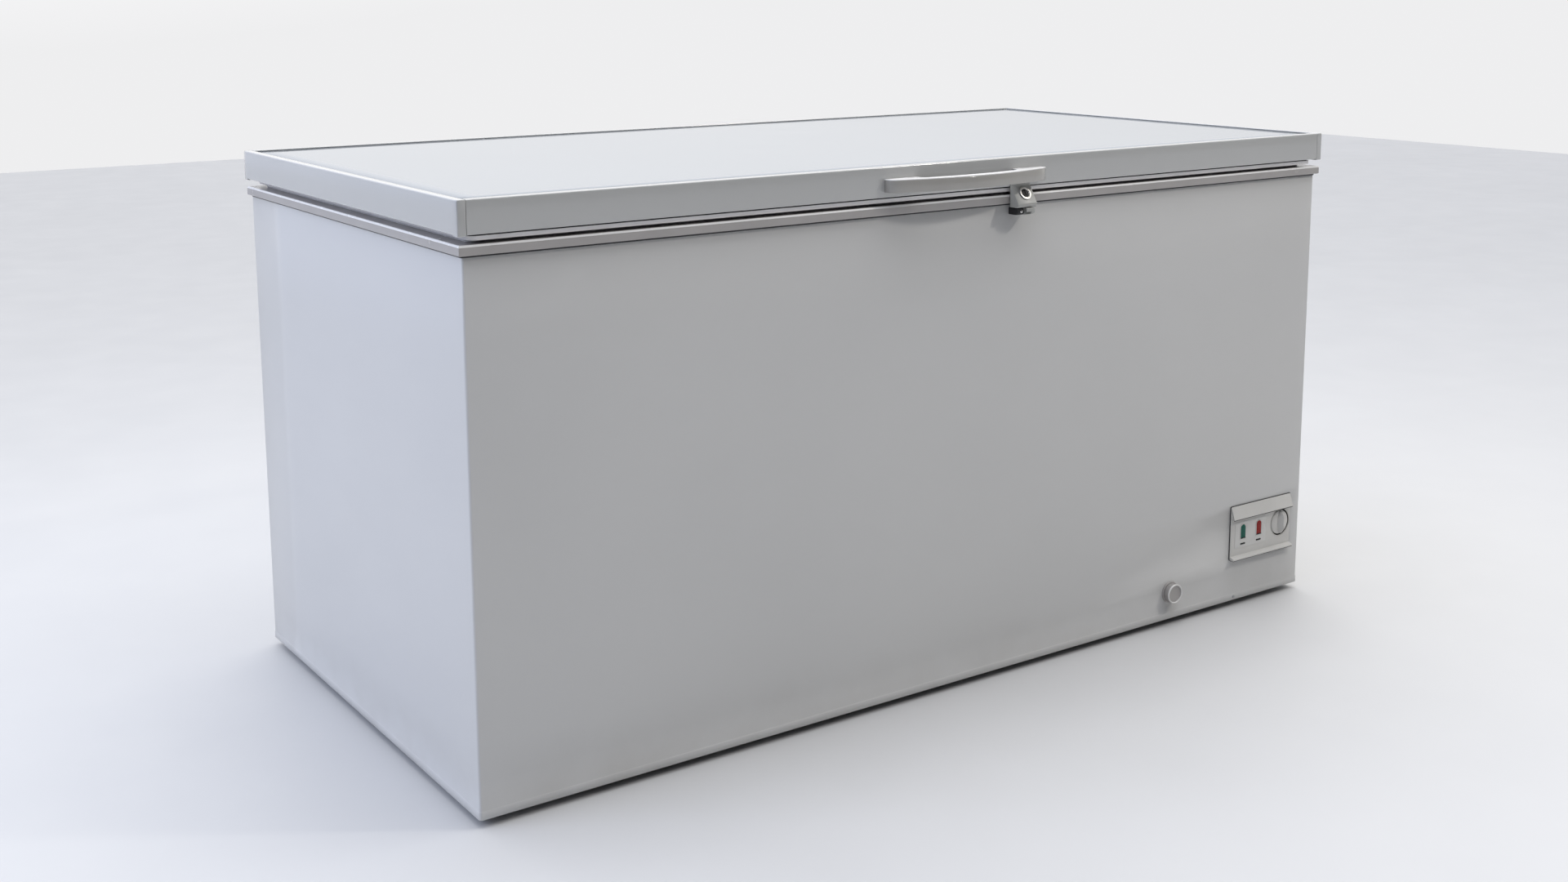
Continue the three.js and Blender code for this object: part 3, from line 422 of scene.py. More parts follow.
def plate(name, outlines, start, end, axis, material, body="root", replaces=(), edge=0.4):
    """A flat plate with holes and softened edges: the first outline is its edge, the others are holes."""
    data = bpy.data.curves.new(name, "CURVE")
    data.dimensions = "2D"
    data.fill_mode = "BOTH"
    data.extrude = ((end - start) / 2 - edge) * MM
    data.bevel_depth = edge * MM
    data.bevel_resolution = 2
    data.offset = -edge * MM
    for outline in outlines:
        spline = data.splines.new("POLY")
        spline.points.add(len(outline) - 1)
        for point, (u, v) in zip(spline.points, outline):
            point.co = (u * MM, v * MM, 0, 1)
        spline.use_cyclic_u = True
    holder = bpy.data.objects.new(name + "_outline", data)
    bpy.context.scene.collection.objects.link(holder)
    bpy.context.view_layer.update()
    mesh = bpy.data.meshes.new_from_object(holder.evaluated_get(bpy.context.evaluated_depsgraph_get()))
    bpy.data.objects.remove(holder)
    middle = (start + end) / 2 * (-1 if axis == "y" else 1)
    mesh.transform(AXES[axis] @ Matrix.Translation((0, 0, middle * MM)))
    bm = bmesh.new()
    bm.from_mesh(mesh)
    bmesh.ops.remove_doubles(bm, verts=bm.verts, dist=1e-7)
    bmesh.ops.recalc_face_normals(bm, faces=bm.faces)
    bm.to_mesh(mesh)
    bm.free()
    mesh.name = name
    return finished(name, mesh, material, body, replaces, smooth=35)


def along(point, direction):
    """A matrix whose z axis points in a direction, at a point."""
    turn = Vector(direction).to_track_quat("Z", "Y").to_matrix().to_4x4()
    return Matrix.Translation(Vector(point)) @ turn


def carve(piece, cutters):
    """Cuts other pieces' solids out of a piece for good, and removes them."""
    for cutter in cutters:
        modifier = piece.modifiers.new("cut", "BOOLEAN")
        modifier.operation = "DIFFERENCE"
        modifier.object = cutter
        modifier.solver = "EXACT"
    bpy.context.view_layer.update()
    mesh = bpy.data.meshes.new_from_object(piece.evaluated_get(bpy.context.evaluated_depsgraph_get()))
    piece.modifiers.clear()
    piece.data = mesh
    for cutter in cutters:
        bpy.data.objects.remove(cutter)
    mesh.set_sharp_from_angle(angle=math.radians(35))


def in_mm(node):
    low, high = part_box(node)
    return low / MM, high / MM


# ---------------------------------------------------------------- driving sizes, from the frame
FRONT_LOW, FRONT_HIGH = in_mm("front_panel")
CASE_X = FRONT_HIGH.x
CASE_Y = -FRONT_LOW.y
CASE_LOW, CASE_HIGH = FRONT_LOW.z, FRONT_HIGH.z
COLLAR_LOW, COLLAR_HIGH = in_mm("collar_front")
LID_LOW, LID_HIGH = in_mm("lid_rail_left")
LID_X = -LID_LOW.x
LID_Y = 418.0
LID_BOTTOM, LID_TOP = LID_LOW.z, LID_HIGH.z
PANEL_LOW, PANEL_HIGH = in_mm("control_bezel")
KNOB_LOW, KNOB_HIGH = in_mm("thermostat_knob")
KNOB_X, KNOB_Z = (KNOB_LOW.x + KNOB_HIGH.x) / 2, (KNOB_LOW.z + KNOB_HIGH.z) / 2
HINGES = {"left": -560.0, "right": 560.0}
HINGE_Y, HINGE_Z = (value / MM for value in frame["joints"][0]["pos_m"][1:])


# ---------------------------------------------------------------- cabinet
def sheet_grid(name, stations, levels, skip, material, thickness, replaces, body="root"):
    """A folded sheet: stations are plan points with outward normals, levels are (outward, height)."""
    mesh = bpy.data.meshes.new(name)
    bm = bmesh.new()
    rows = []
    for out, z in levels:
        rows.append([bm.verts.new(Vector((x + nx * out, y + ny * out, z)) * MM) for x, y, nx, ny in stations])
    for i in range(len(levels) - 1):
        for j in range(len(stations) - 1):
            middle = sum((Vector(v.co) for v in (rows[i][j], rows[i + 1][j + 1])), Vector()) / 2 / MM
            if not skip(middle):
                bm.faces.new((rows[i][j], rows[i][j + 1], rows[i + 1][j + 1], rows[i + 1][j]))
    bm.to_mesh(mesh)
    bm.free()
    piece = finished(name, mesh, material, body, replaces, smooth=50)
    solid = piece.modifiers.new("sheet", "SOLIDIFY")
    solid.thickness = thickness * MM
    solid.offset = -1
    return piece


PANEL_HOLE = (PANEL_LOW.x + 8, PANEL_HIGH.x - 0.6, PANEL_LOW.z + 10, PANEL_HIGH.z - 10)
VENT = {"y0": 125.0, "y1": 275.0, "z0": 66.0, "z1": 200.0}


def cabinet_skin():
    bend = 4.0
    back = CASE_Y - 1.3
    side_breaks = [back, VENT["y1"], VENT["y0"], 0, -200]
    stations = [(-CASE_X, y, -1, 0) for y in side_breaks]
    stations += [(-CASE_X + bend + bend * math.cos(a), -CASE_Y + bend + bend * math.sin(a), math.cos(a),
        math.sin(a)) for a in (math.radians(180 + 15 * i) for i in range(7))]
    for x in (-600, -300, 0, 300, PANEL_HOLE[0], PANEL_HOLE[1]):
        stations.append((x, -CASE_Y, 0, -1))
    stations += [(CASE_X - bend + bend * math.cos(a), -CASE_Y + bend + bend * math.sin(a), math.cos(a),
        math.sin(a)) for a in (math.radians(270 + 15 * i) for i in range(7))]
    stations += [(CASE_X, y, 1, 0) for y in side_breaks[::-1]]
    hem = 12.0
    levels = [(-9, CASE_LOW), (0.2, CASE_LOW), (0.9, CASE_LOW + 0.6), (0.9, CASE_LOW + hem - 0.6),
        (0.5, CASE_LOW + hem), (0, CASE_LOW + hem + 0.6)]
    levels += [(0, z) for z in (VENT["z0"], PANEL_HOLE[2], PANEL_HOLE[3], VENT["z1"], 400, 600,
        CASE_HIGH - 1)]
    levels += [(-0.6, CASE_HIGH - 0.2), (-9, CASE_HIGH)]

    def skip(p):
        behind_panel = p.y < -CASE_Y + 1 and PANEL_HOLE[0] < p.x < PANEL_HOLE[1]
        beside_vent = p.x > CASE_X - 1 and VENT["y0"] < p.y < VENT["y1"]
        return (behind_panel and PANEL_HOLE[2] < p.z < PANEL_HOLE[3]) or (beside_vent
            and VENT["z0"] < p.z < VENT["z1"])

    sheet_grid("cabinet_skin", stations, levels, skip, "case_paint", 0.9, ("front_panel", "left_side_panel",
        "right_side_panel"))


def louvres(name, matrix, width, rows, pitch, material, frame_margin, body="root", replaces=()):
    """Pressed louvres in a plate: local x across, y up, z outwards, from the middle of the plate."""
    shape = Shape()
    height = rows * pitch
    hood, lip, skin = pitch * 0.62, 3.6, 0.8
    outer_w, outer_h = width / 2 + frame_margin, height / 2 + frame_margin
    for sign in (-1, 1):
        side = sorted((sign * width / 2, sign * outer_w))
        shape.add(*cuboid(side[0], side[1], -outer_h, outer_h, 0, skin), matrix)
        end = sorted((sign * height / 2, sign * outer_h))
        shape.add(*cuboid(-width / 2, width / 2, end[0], end[1], 0, skin), matrix)
    for row in range(rows):
        top = height / 2 - row * pitch
        flat = top - (pitch - hood)
        section = [(top, 0), (flat, 0)]
        section += [(flat - hood * t, lip * math.sin(t * math.pi / 2)) for t in (0.25, 0.5, 0.75, 1)]
        section += [(y, z + skin) for y, z in section[::-1]]
        taper = 4.0
        rings = [[(x, y, z * squeeze if z > skin else z) for y, z in section] for x,
            squeeze in ((-width / 2, 0.3), (-width / 2 + taper, 0.85), (-width / 2 + 2 * taper, 1),
            (width / 2 - 2 * taper, 1), (width / 2 - taper, 0.85), (width / 2, 0.3))]
        shape.loft(rings, matrix)
    return shape.piece(name, material, body, replaces, smooth=30)


def cuboid(x0, x1, y0, y1, z0, z1):
    corners = [(x, y, z) for z in (z0, z1) for x, y in ((x0, y0), (x1, y0), (x1, y1), (x0, y1))]
    faces = [(3, 2, 1, 0), (4, 5, 6, 7), (0, 1, 5, 4), (1, 2, 6, 5), (2, 3, 7, 6), (3, 0, 4, 7)]
    return corners, faces


def side_vent():
    centre = ((VENT["y0"] + VENT["y1"]) / 2, (VENT["z0"] + VENT["z1"]) / 2)
    matrix = Matrix(((0, 0, 1, CASE_X - 0.6), (1, 0, 0, centre[0]), (0, 1, 0, centre[1]), (0, 0, 0, 1)))
    louvres("side_vent_louvres", matrix, VENT["y1"] - VENT["y0"] - 12, 8, 15.5, "case_paint", 6)


def rear_cover():
    low, high = in_mm("rear_compressor_cover")
    centre = (low + high) / 2
    matrix = Matrix(((-1, 0, 0, centre.x), (0, 0, 1, low.y), (0, 1, 0, centre.z), (0, 0, 0, 1)))
    louvres("rear_cover_louvres", matrix, high.x - low.x - 36, 10, 16, "case_paint", 18,
        replaces=("rear_compressor_cover",))


def back_skin():
    low, high = in_mm("back_panel")
    cover_low, cover_high = in_mm("rear_compressor_cover")
    hole = rounded_rect(cover_low.x + 18, cover_high.x - 18, cover_low.z + 18, cover_high.z - 18, 6)
    gland_low, gland_high = in_mm("cord_gland")
    gland = ((gland_low.x + gland_high.x) / 2, (gland_low.z + gland_high.z) / 2)
    gland_hole = arc(gland, 8.4, 0, 345, 23)
    edge = rounded_rect(low.x + 0.5, high.x - 0.5, low.z, high.z, 3)
    plate("back_skin", [edge, hole, gland_hole], low.y, high.y, "y", "case_paint", replaces=("back_panel",),
        edge=0.25)
    beads = Shape()
    for z in (300, 420, 540):
        rings = []
        for step in range(9):
            t = math.pi * step / 8
            offset = 9 * math.cos(t)
            lift = 1.8 * math.sin(t)
            rings.append([(x, high.y - 0.3 + lift * k, z + offset) for x, k in ((-760, 0), (-750, 0.8),
                (-740, 1), (740, 1), (750, 0.8), (760, 0))])
        verts = [p for ring in rings for p in ring]
        faces = [(6 * i + j, 6 * i + j + 1, 6 * i + j + 7, 6 * i + j + 6) for i in range(8) for j in range(5)]
        beads.add(verts, faces)
    beads.piece("back_stiffening_beads", "case_paint", smooth=60)


def collar():
    """Four runs; the section is (outwards from the case, height).

    The pale shoulder strip is a painted highlight and the dark bead a painted shadow line. They are not real
    parts.
    """
    out = -COLLAR_LOW.y - CASE_Y
    low, high = COLLAR_LOW.z, COLLAR_HIGH.z
    inner = COLLAR_LOW.y + CASE_Y + (COLLAR_HIGH.y - COLLAR_LOW.y)
    deep = -inner
    section = [(out - 1.2, low + 0.2)]
    section += arc((out - 1.6, low + 1.8), 1.6, 270, 360, 3)[1:]
    section += [(out, high - 2.6), (out - 0.5, high - 2.4), (out - 2.1, high - 0.5), (out - 2.4, high)]
    section += arc((deep + 2.5, high - 2.5), 2.5, 90, 180, 5)
    section += [(deep, low), (deep + 2, low), (deep + 2, high - 4), (out - 3.2, high - 4),
        (out - 3.2, low + 0.2)]
    painted_highlight = [(out - 0.1, high - 2.7), (out + 0.15, high - 2.2), (out - 1.4, high + 0.1),
        (out - 3.0, high + 0.1), (out - 3.0, high - 0.3), (out - 2.1, high - 0.6), (out - 0.5, high - 2.5)]
    runs = {"front": (CASE_X, CASE_Y, 0), "back": (CASE_X, CASE_Y, 180), "left": (CASE_Y, CASE_X, -90),
        "right": (CASE_Y, CASE_X, 90)}
    for side, (half_length, half_depth, turn) in runs.items():
        matrix = Matrix.Rotation(math.radians(turn), 4, "Z")
        rings = [[(sign * (half_length + u - 0.15), -(half_depth + u), z) for u, z in section]
            for sign in (-1, 1)]
        Shape().loft(rings, matrix).piece(f"collar_{side}_run", "collar_plastic",
            replaces=(f"collar_{side}",), smooth=35)
        # Pale strip along the collar's top edge: a painted highlight, not a real part.
        rings = [[(sign * (half_length + u - 0.15), -(half_depth + u), z) for u, z in painted_highlight]
            for sign in (-1, 1)]
        Shape().loft(rings, matrix).piece(f"collar_{side}_shoulder", "painted_highlight_plastic", smooth=20)
    # Black bead under the collar: a painted shadow line, not a real part.
    bead = [(-0.3, low + 0.3), (0.9, low + 0.3), (1.1, low - 0.4), (1.0, low - 2.0), (0.5, low - 2.5),
        (-0.3, low - 2.6)]
    rings = [ring_of(CASE_X + u, CASE_Y + u, 4, z) for u, z in bead]
    Shape().loft(rings, close=True).piece("collar_painted_shadow_bead", "black_plastic", smooth=50)


def inner_liner():
    low, high = in_mm("inner_liner")
    left, right, near, far = low.x + 1, high.x - 1, low.y + 1, high.y - 1
    floor, rim = low.z + 1, high.z
    step_top, riser, radius = 330.0, 525.0, 30.0
    joint = riser - radius
    left_side = ([(joint, far)] + arc((left + radius, far - radius), radius, 90, 180, 8)
        + arc((left + radius, near + radius), radius, 180, 270, 8) + [(joint, near)])
    full = arc((right - radius, near + radius), radius, 270, 360, 8) + arc((right - radius, far - radius),
        radius, 0, 90, 8)
    deep = arc((joint, near + radius), radius, 270, 360, 8)[1:] + arc((joint, far - radius), radius, 0, 90,
        8)[:-1]
    mesh = bpy.data.meshes.new("liner_shell")
    bm = bmesh.new()
    for outline, z0, z1 in ((left_side + full, step_top, rim), (left_side + deep, floor, step_top)):
        lower = [bm.verts.new(Vector((x, y, z0)) * MM) for x, y in outline]
        upper = [bm.verts.new(Vector((x, y, z1)) * MM) for x, y in outline]
        for i in range(len(outline)):
            j = (i + 1) % len(outline)
            bm.faces.new((lower[j], lower[i], upper[i], upper[j]))
        if z0 == floor:
            bm.faces.new(lower)
    ledge = [left_side[-1]] + full + [left_side[0]] + deep[::-1]
    bm.faces.new([bm.verts.new(Vector((x, y, step_top)) * MM) for x, y in ledge])
    bmesh.ops.remove_doubles(bm, verts=bm.verts, dist=1e-5)
    bmesh.ops.recalc_face_normals(bm, faces=bm.faces)
    if sum(f.normal.z * f.calc_area() for f in bm.faces) < 0:
        bmesh.ops.reverse_faces(bm, faces=bm.faces)
    bm.to_mesh(mesh)
    bm.free()
    piece = finished("liner_shell", mesh, "liner_sheet", "root", ("inner_liner",), bevel=14, segments=5,
        smooth=50)
    sheet = piece.modifiers.new("sheet", "SOLIDIFY")
    sheet.thickness = 0.9 * MM
    sheet.offset = -1


# ---------------------------------------------------------------- lid
LIP = 12.0
FLANGE = 26.0


def rail_section():
    """The lid frame's section: (in from the edge, height)."""
    low, high = LID_BOTTOM, LID_TOP
    section = [(FLANGE, low)]
    section += [(1.4 - 1.4 * math.sin(math.radians(a)), low + 1.4 - 1.4 * math.cos(math.radians(a)))
        for a in (0, 30, 60, 90)]
    section += [(2.4 - 2.4 * math.cos(math.radians(a)), high - 2.4 + 2.4 * math.sin(math.radians(a)))
        for a in (0, 15, 30, 45, 60, 75, 90)]
    section += [(LIP - 1.3 + 1.3 * math.sin(math.radians(a)), high - 1.3 + 1.3 * math.cos(math.radians(a)))
        for a in (0, 30, 60, 90)]
    section += [(LIP, high - 1.6), (4.6, high - 1.6), (1.6, high - 4.6), (1.6, low + 1.6),
        (FLANGE, low + 1.6)]
    return section


def lid_frame():
    section = rail_section()
    block = 12.2
    seam = 0.7
    for name, sign in (("front", -1), ("back", 1)):
        reach = LID_X - block - seam
        rings = [[(x, sign * (LID_Y - u), z) for u, z in section] for x in (-reach, reach)]
        Shape().loft(rings).piece(f"lid_frame_{name}", "lid_frame", "lid", (f"lid_rail_{name}",), smooth=35)
    middle, half = (LID_TOP + LID_BOTTOM) / 2, (LID_TOP - LID_BOTTOM) / 2
    inner_side = section.index((LIP, LID_TOP - 1.6))
    foot, round_end = 1.8, 1.6
    for name, sign in (("left", -1), ("right", 1)):
        rings = []
        for inset, solid in ((0, True), (0.25, True), (0.8, True), (round_end, True), (block, True),
                (block + 0.1, False)):
            shrink = round_end - math.sqrt(round_end ** 2 - max(round_end - inset, 0) ** 2)
            ring = []
            for i, (u, z) in enumerate(section):
                if solid:
                    u = block if i >= inner_side or i == 0 else min(u, block)
                    z = min(z, LID_TOP - 0.4) if i >= inner_side else z
                    z = middle + (z - middle) * (half - shrink) / half - (foot if z < middle else 0)
                    u += shrink * (1 - u / block)
                ring.append((u, z))
            rings.append((inset, ring))
        ordered = [(-LID_Y + inset, ring) for inset, ring in rings]
        ordered += [(LID_Y - inset, ring) for inset, ring in rings[::-1]]
        Shape().loft([[(sign * (LID_X - u), y, z) for u, z in ring] for y,
            ring in ordered]).piece(f"lid_frame_{name}", "lid_frame", "lid", (f"lid_rail_{name}",), smooth=35)


def lid_top():
    """The top sheet, crowned by under a millimetre so that its reflections run."""
    half_x, half_y = LID_X - 5, LID_Y - 5
    top = in_mm("lid_top_sheet")[1].z
    columns, rows = 40, 20
    shape = Shape()
    verts, faces = [], []
    for j in range(rows + 1):
        for i in range(columns + 1):
            u, v = 2 * i / columns - 1, 2 * j / rows - 1
            crown = 0.9 * (1 - u ** 4) * (1 - v ** 4)
            verts.append((u * half_x, v * half_y, top + crown))
    stride = columns + 1
    for j in range(rows):
        for i in range(columns):
            corner = j * stride + i
            faces.append((corner, corner + 1, corner + stride + 1, corner + stride))
    shape.add(verts, faces)
    piece = shape.piece("lid_top_panel", "lid_gloss_paint", "lid", ("lid_top_sheet",), smooth=60)
    sheet = piece.modifiers.new("sheet", "SOLIDIFY")
    sheet.thickness = 0.9 * MM
    sheet.offset = -1


def ring_of(half_x, half_y, radius, z):
    return [(x, y, z) for x, y in rounded_rect(-half_x, half_x, -half_y, half_y, radius, 8)]


def lid_underside():
    low, high = in_mm("lid_liner")
    reach_x, reach_y = high.x, high.y
    seat = LID_BOTTOM + 0.4
    dome = low.z
    rings = [ring_of(reach_x, reach_y, 2, seat + 1), ring_of(reach_x, reach_y, 2, seat)]
    for inset, z, radius in ((50, seat, 22), (56, seat - 0.6, 24), (60, dome + 3, 24), (64, dome + 0.6, 24),
            (70, dome, 26), (112, dome, 30), (116, dome + 0.3, 30), (120, dome + 1.0, 30),
            (124, dome + 1.3, 30)):
        rings.append(ring_of(reach_x - inset, reach_y - inset, radius, z))
    Shape().loft(rings).piece("lid_inner_panel", "liner_sheet", "lid", ("lid_liner",), smooth=35)


def gasket():
    """The band, and a pale flange with a dark retainer: a painted highlight for its lit face and a painted shadow
    over it.
    """
    low, high = in_mm("lid_gasket")
    bottom, top = low.z, high.z
    section = [(0, top), (0, bottom + 6.5), (0.8, bottom + 5.9), (1.6, bottom + 5.2), (1.6, bottom + 4.6),
        (0.7, bottom + 4.0), (0.5, bottom + 2.6), (1.6, bottom + 1.5), (3.0, bottom + 1.2), (3.2, bottom),
        (12.5, bottom), (14.6, bottom + 1.8), (15.4, bottom + 4.2), (13.8, bottom + 6), (15.8, bottom + 8),
        (15.8, top)]
    rings = [ring_of(high.x - u, high.y - u, max(16 - u, 5), z) for u, z in section]
    Shape().loft(rings, close=True).piece("lid_gasket_band", "gasket_vinyl", "lid", ("lid_gasket",),
        smooth=50)
    # The pale flange is a painted highlight for the gasket's lit face; the black retainer is a painted shadow line
    # under the lid's edge.
    near, far, neck, drop = 6.5, 11.0, 2.6, 8.4
    side_inset = 12.0
    flange = [(near, LID_BOTTOM - neck), (near, LID_BOTTOM - drop + 0.9),
        (near + 0.3, LID_BOTTOM - drop + 0.2), (near + 1, LID_BOTTOM - drop), (far - 0.6, LID_BOTTOM - drop),
        (far, LID_BOTTOM - drop + 0.6), (far, LID_BOTTOM - neck)]
    retainer = [(near + 3, LID_BOTTOM + 0.6), (near + 3, LID_BOTTOM - neck - 0.3),
        (far + 1, LID_BOTTOM - neck - 0.3), (far + 1, LID_BOTTOM + 0.6)]
    for name, section, material in (("lid_gasket_painted_highlight_band", flange, "gasket_vinyl"),
            ("lid_gasket_painted_shadow_strip", retainer, "black_plastic")):
        rings = [ring_of(LID_X - side_inset - u, LID_Y - u, 18 - u, z) for u, z in section]
        Shape().loft(rings, close=True).piece(name, material, "lid", smooth=40)


def handle():
    """A bow of bar with a finger gap behind it. Its pale top layer is a painted highlight, standing for the light
    on its top.
    """
    low, high = in_mm("lid_handle")
    seat = high.y
    half, reach, end_reach = high.x, seat - low.y, 16.0
    steps = 24

    def bow(x, edge, middle):
        return seat - middle + (middle - edge) * (x / half) ** 2

    outer = [(-half, seat), (-half, seat - end_reach + 6), (-half + 1.5, seat - end_reach + 3.4)]
    outer += [(x, bow(x, end_reach - 1, reach)) for x in (-half + 8 + (2 * half - 16) * i / steps
        for i in range(steps + 1))]
    outer += [(half - 1.5, seat - end_reach + 3.4), (half, seat - end_reach + 6), (half, seat)]
    gap = 96.0
    inner = [(gap, seat), (gap - 2, bow(gap, end_reach - 15, reach - 13.5) + 2)]
    inner += [(x, bow(x, end_reach - 15, reach - 13.5)) for x in (gap - 5 - (2 * gap - 10) * i / steps
        for i in range(steps + 1))]
    inner += [(-gap + 2, bow(gap, end_reach - 15, reach - 13.5) + 2), (-gap, seat)]
    cover = 1.6
    plate("grab_handle", [outer + inner], low.z, high.z - cover, "z", "handle_plastic", "lid",
        ("lid_handle",), edge=0.9)
    # The pale top layer: a painted highlight over the handle's own plastic.
    plate("grab_handle_painted_highlight", [outer + inner], high.z - cover - 0.1, high.z, "z", "painted_highlight_plastic", "lid",
        edge=0.5)


# ---------------------------------------------------------------- lock
LOCK_JOINT = next(j for j in frame["joints"] if j["name"] == "lock_turn")
BARREL_POINT = Vector(LOCK_JOINT["pos_m"]) / MM
BARREL_OUT = Vector(LOCK_JOINT["axis"])
BOLT_WAY = Vector(next(j for j in frame["joints"] if j["name"] == "lock_bolt_slide")["axis"])
BOLT_X = (in_mm("lock_bolt")[0].x + in_mm("lock_bolt")[1].x) / 2 - BARREL_POINT.x


def bolt_matrix():
    """Local x across, y into the lid, z against the bolt's way out, from the barrel."""
    back, up = -BARREL_OUT, -BOLT_WAY
    return Matrix.Translation(BARREL_POINT) @ Matrix(((1, back.x, up.x, 0), (0, back.y, up.y, 0),
        (0, back.z, up.z, 0), (0, 0, 0, 1)))


def lock():
    low, high = in_mm("lock_housing")
    seat = high.y
    top_face, bottom_face = -421.0, low.y
    painted_highlight, knee = 802.0, 775.0
    side = [(seat, high.z), (top_face, high.z), (top_face, painted_highlight), (bottom_face, knee),
        (bottom_face, low.z + 3), (bottom_face + 3, low.z), (seat, low.z)]
    housing = Shape().prism(side, low.x, high.x, "x").piece("lock_body", "lock_plastic", "lid",
        ("lock_housing",), bevel=2.6, segments=4, smooth=25)
    wall = 2.4
    hollow = Shape().prism([(seat + 9, painted_highlight - 5), (top_face - 1, painted_highlight - 5),
        (bottom_face + 4, knee - 0.5), (bottom_face + 4, low.z - 20), (seat + 9, low.z - 20)],
        low.x + wall + 1, high.x - wall - 1, "x").piece("cut_hollow", "lock_plastic")
    bore = Shape().turned([(0, -12), (8.5, -12), (8.5, 12), (0, 12)],
        along(BARREL_POINT, BARREL_OUT)).piece("cut_bore", "lock_plastic")
    carve(housing, [hollow, bore])

    face = along(BARREL_POINT, BARREL_OUT)
    barrel = Shape().turned([(0, -7.3), (8, -7.3), (8, 0.45), (10.2, 0.45), (10.9, 0.9), (10.9, 1.5),
        (10.2, 2.2), (8.8, 2.4), (8.0, 2.1), (7.5, 1.2), (0, 1.0)], face, 48)
    barrel = barrel.piece("lock_barrel_turned", "satin_ring", "lock_barrel", ("lock_barrel",), smooth=30)
    key_slot = Shape().add(*cuboid(-0.9, 0.9, -4.2, 4.2, -5, 4), face).piece("cut_key", "bright_steel")
    carve(barrel, [key_slot])
    dark = Shape().turned([(0, 0.6), (6.9, 0.6), (7.1, 1.25), (6.6, 1.45), (0, 1.35)], face,
        40).piece("lock_core_face", "black_plastic", "lock_barrel", smooth=30)
    slot_cut = Shape().add(*cuboid(-0.9, 0.9, -4.0, 4.0, -2, 4), face).piece("cut_core", "black_plastic")
    carve(dark, [slot_cut])

    turn = bolt_matrix()
    Shape().add(*cuboid(BOLT_X - 5.9, BOLT_X + 5.9, 7.8, 11.2, -15.9, -2), turn).piece("lock_bolt_plate",
        "bright_steel", "lock_bolt", ("lock_bolt",), bevel=0.7)


def strike():
    low, high = in_mm("lock_strike")
    seat = high.y
    dark_right = low.x + 13
    outline = [(seat, low.z), (low.y + 5, low.z), (low.y + 1.2, low.z + 2.5), (low.y, low.z + 5),
        (low.y, high.z - 1), (low.y + 1, high.z), (seat, high.z)]
    right = Shape().prism(outline, dark_right + 0.2, high.x, "x").piece("strike_catch", "lock_plastic",
        "root", ("lock_strike",), bevel=2.0, segments=4, smooth=30)
    left = Shape().prism([(y + (0 if y == seat else 5), z) for y, z in outline], low.x, dark_right,
        "x").piece("strike_base", "black_plastic", "root", bevel=1.2, smooth=30)
    turn = bolt_matrix()
    for index, block in enumerate((right, left)):
        slot = Shape().add(*cuboid(BOLT_X - 6.8, BOLT_X + 6.8, 6.9, 12.1, -45, -5),
            turn).piece(f"cut_slot_{index}", "lock_plastic")
        carve(block, [slot])


# ---------------------------------------------------------------- control panel
LAMPS = {"green": "power_lens_green", "red": "alarm_lens_red"}


def arch(x, low, high, half, steps=10):
    return [(x - half, low), (x + half, low)] + arc((x, high - half), half, 0, 180, steps)


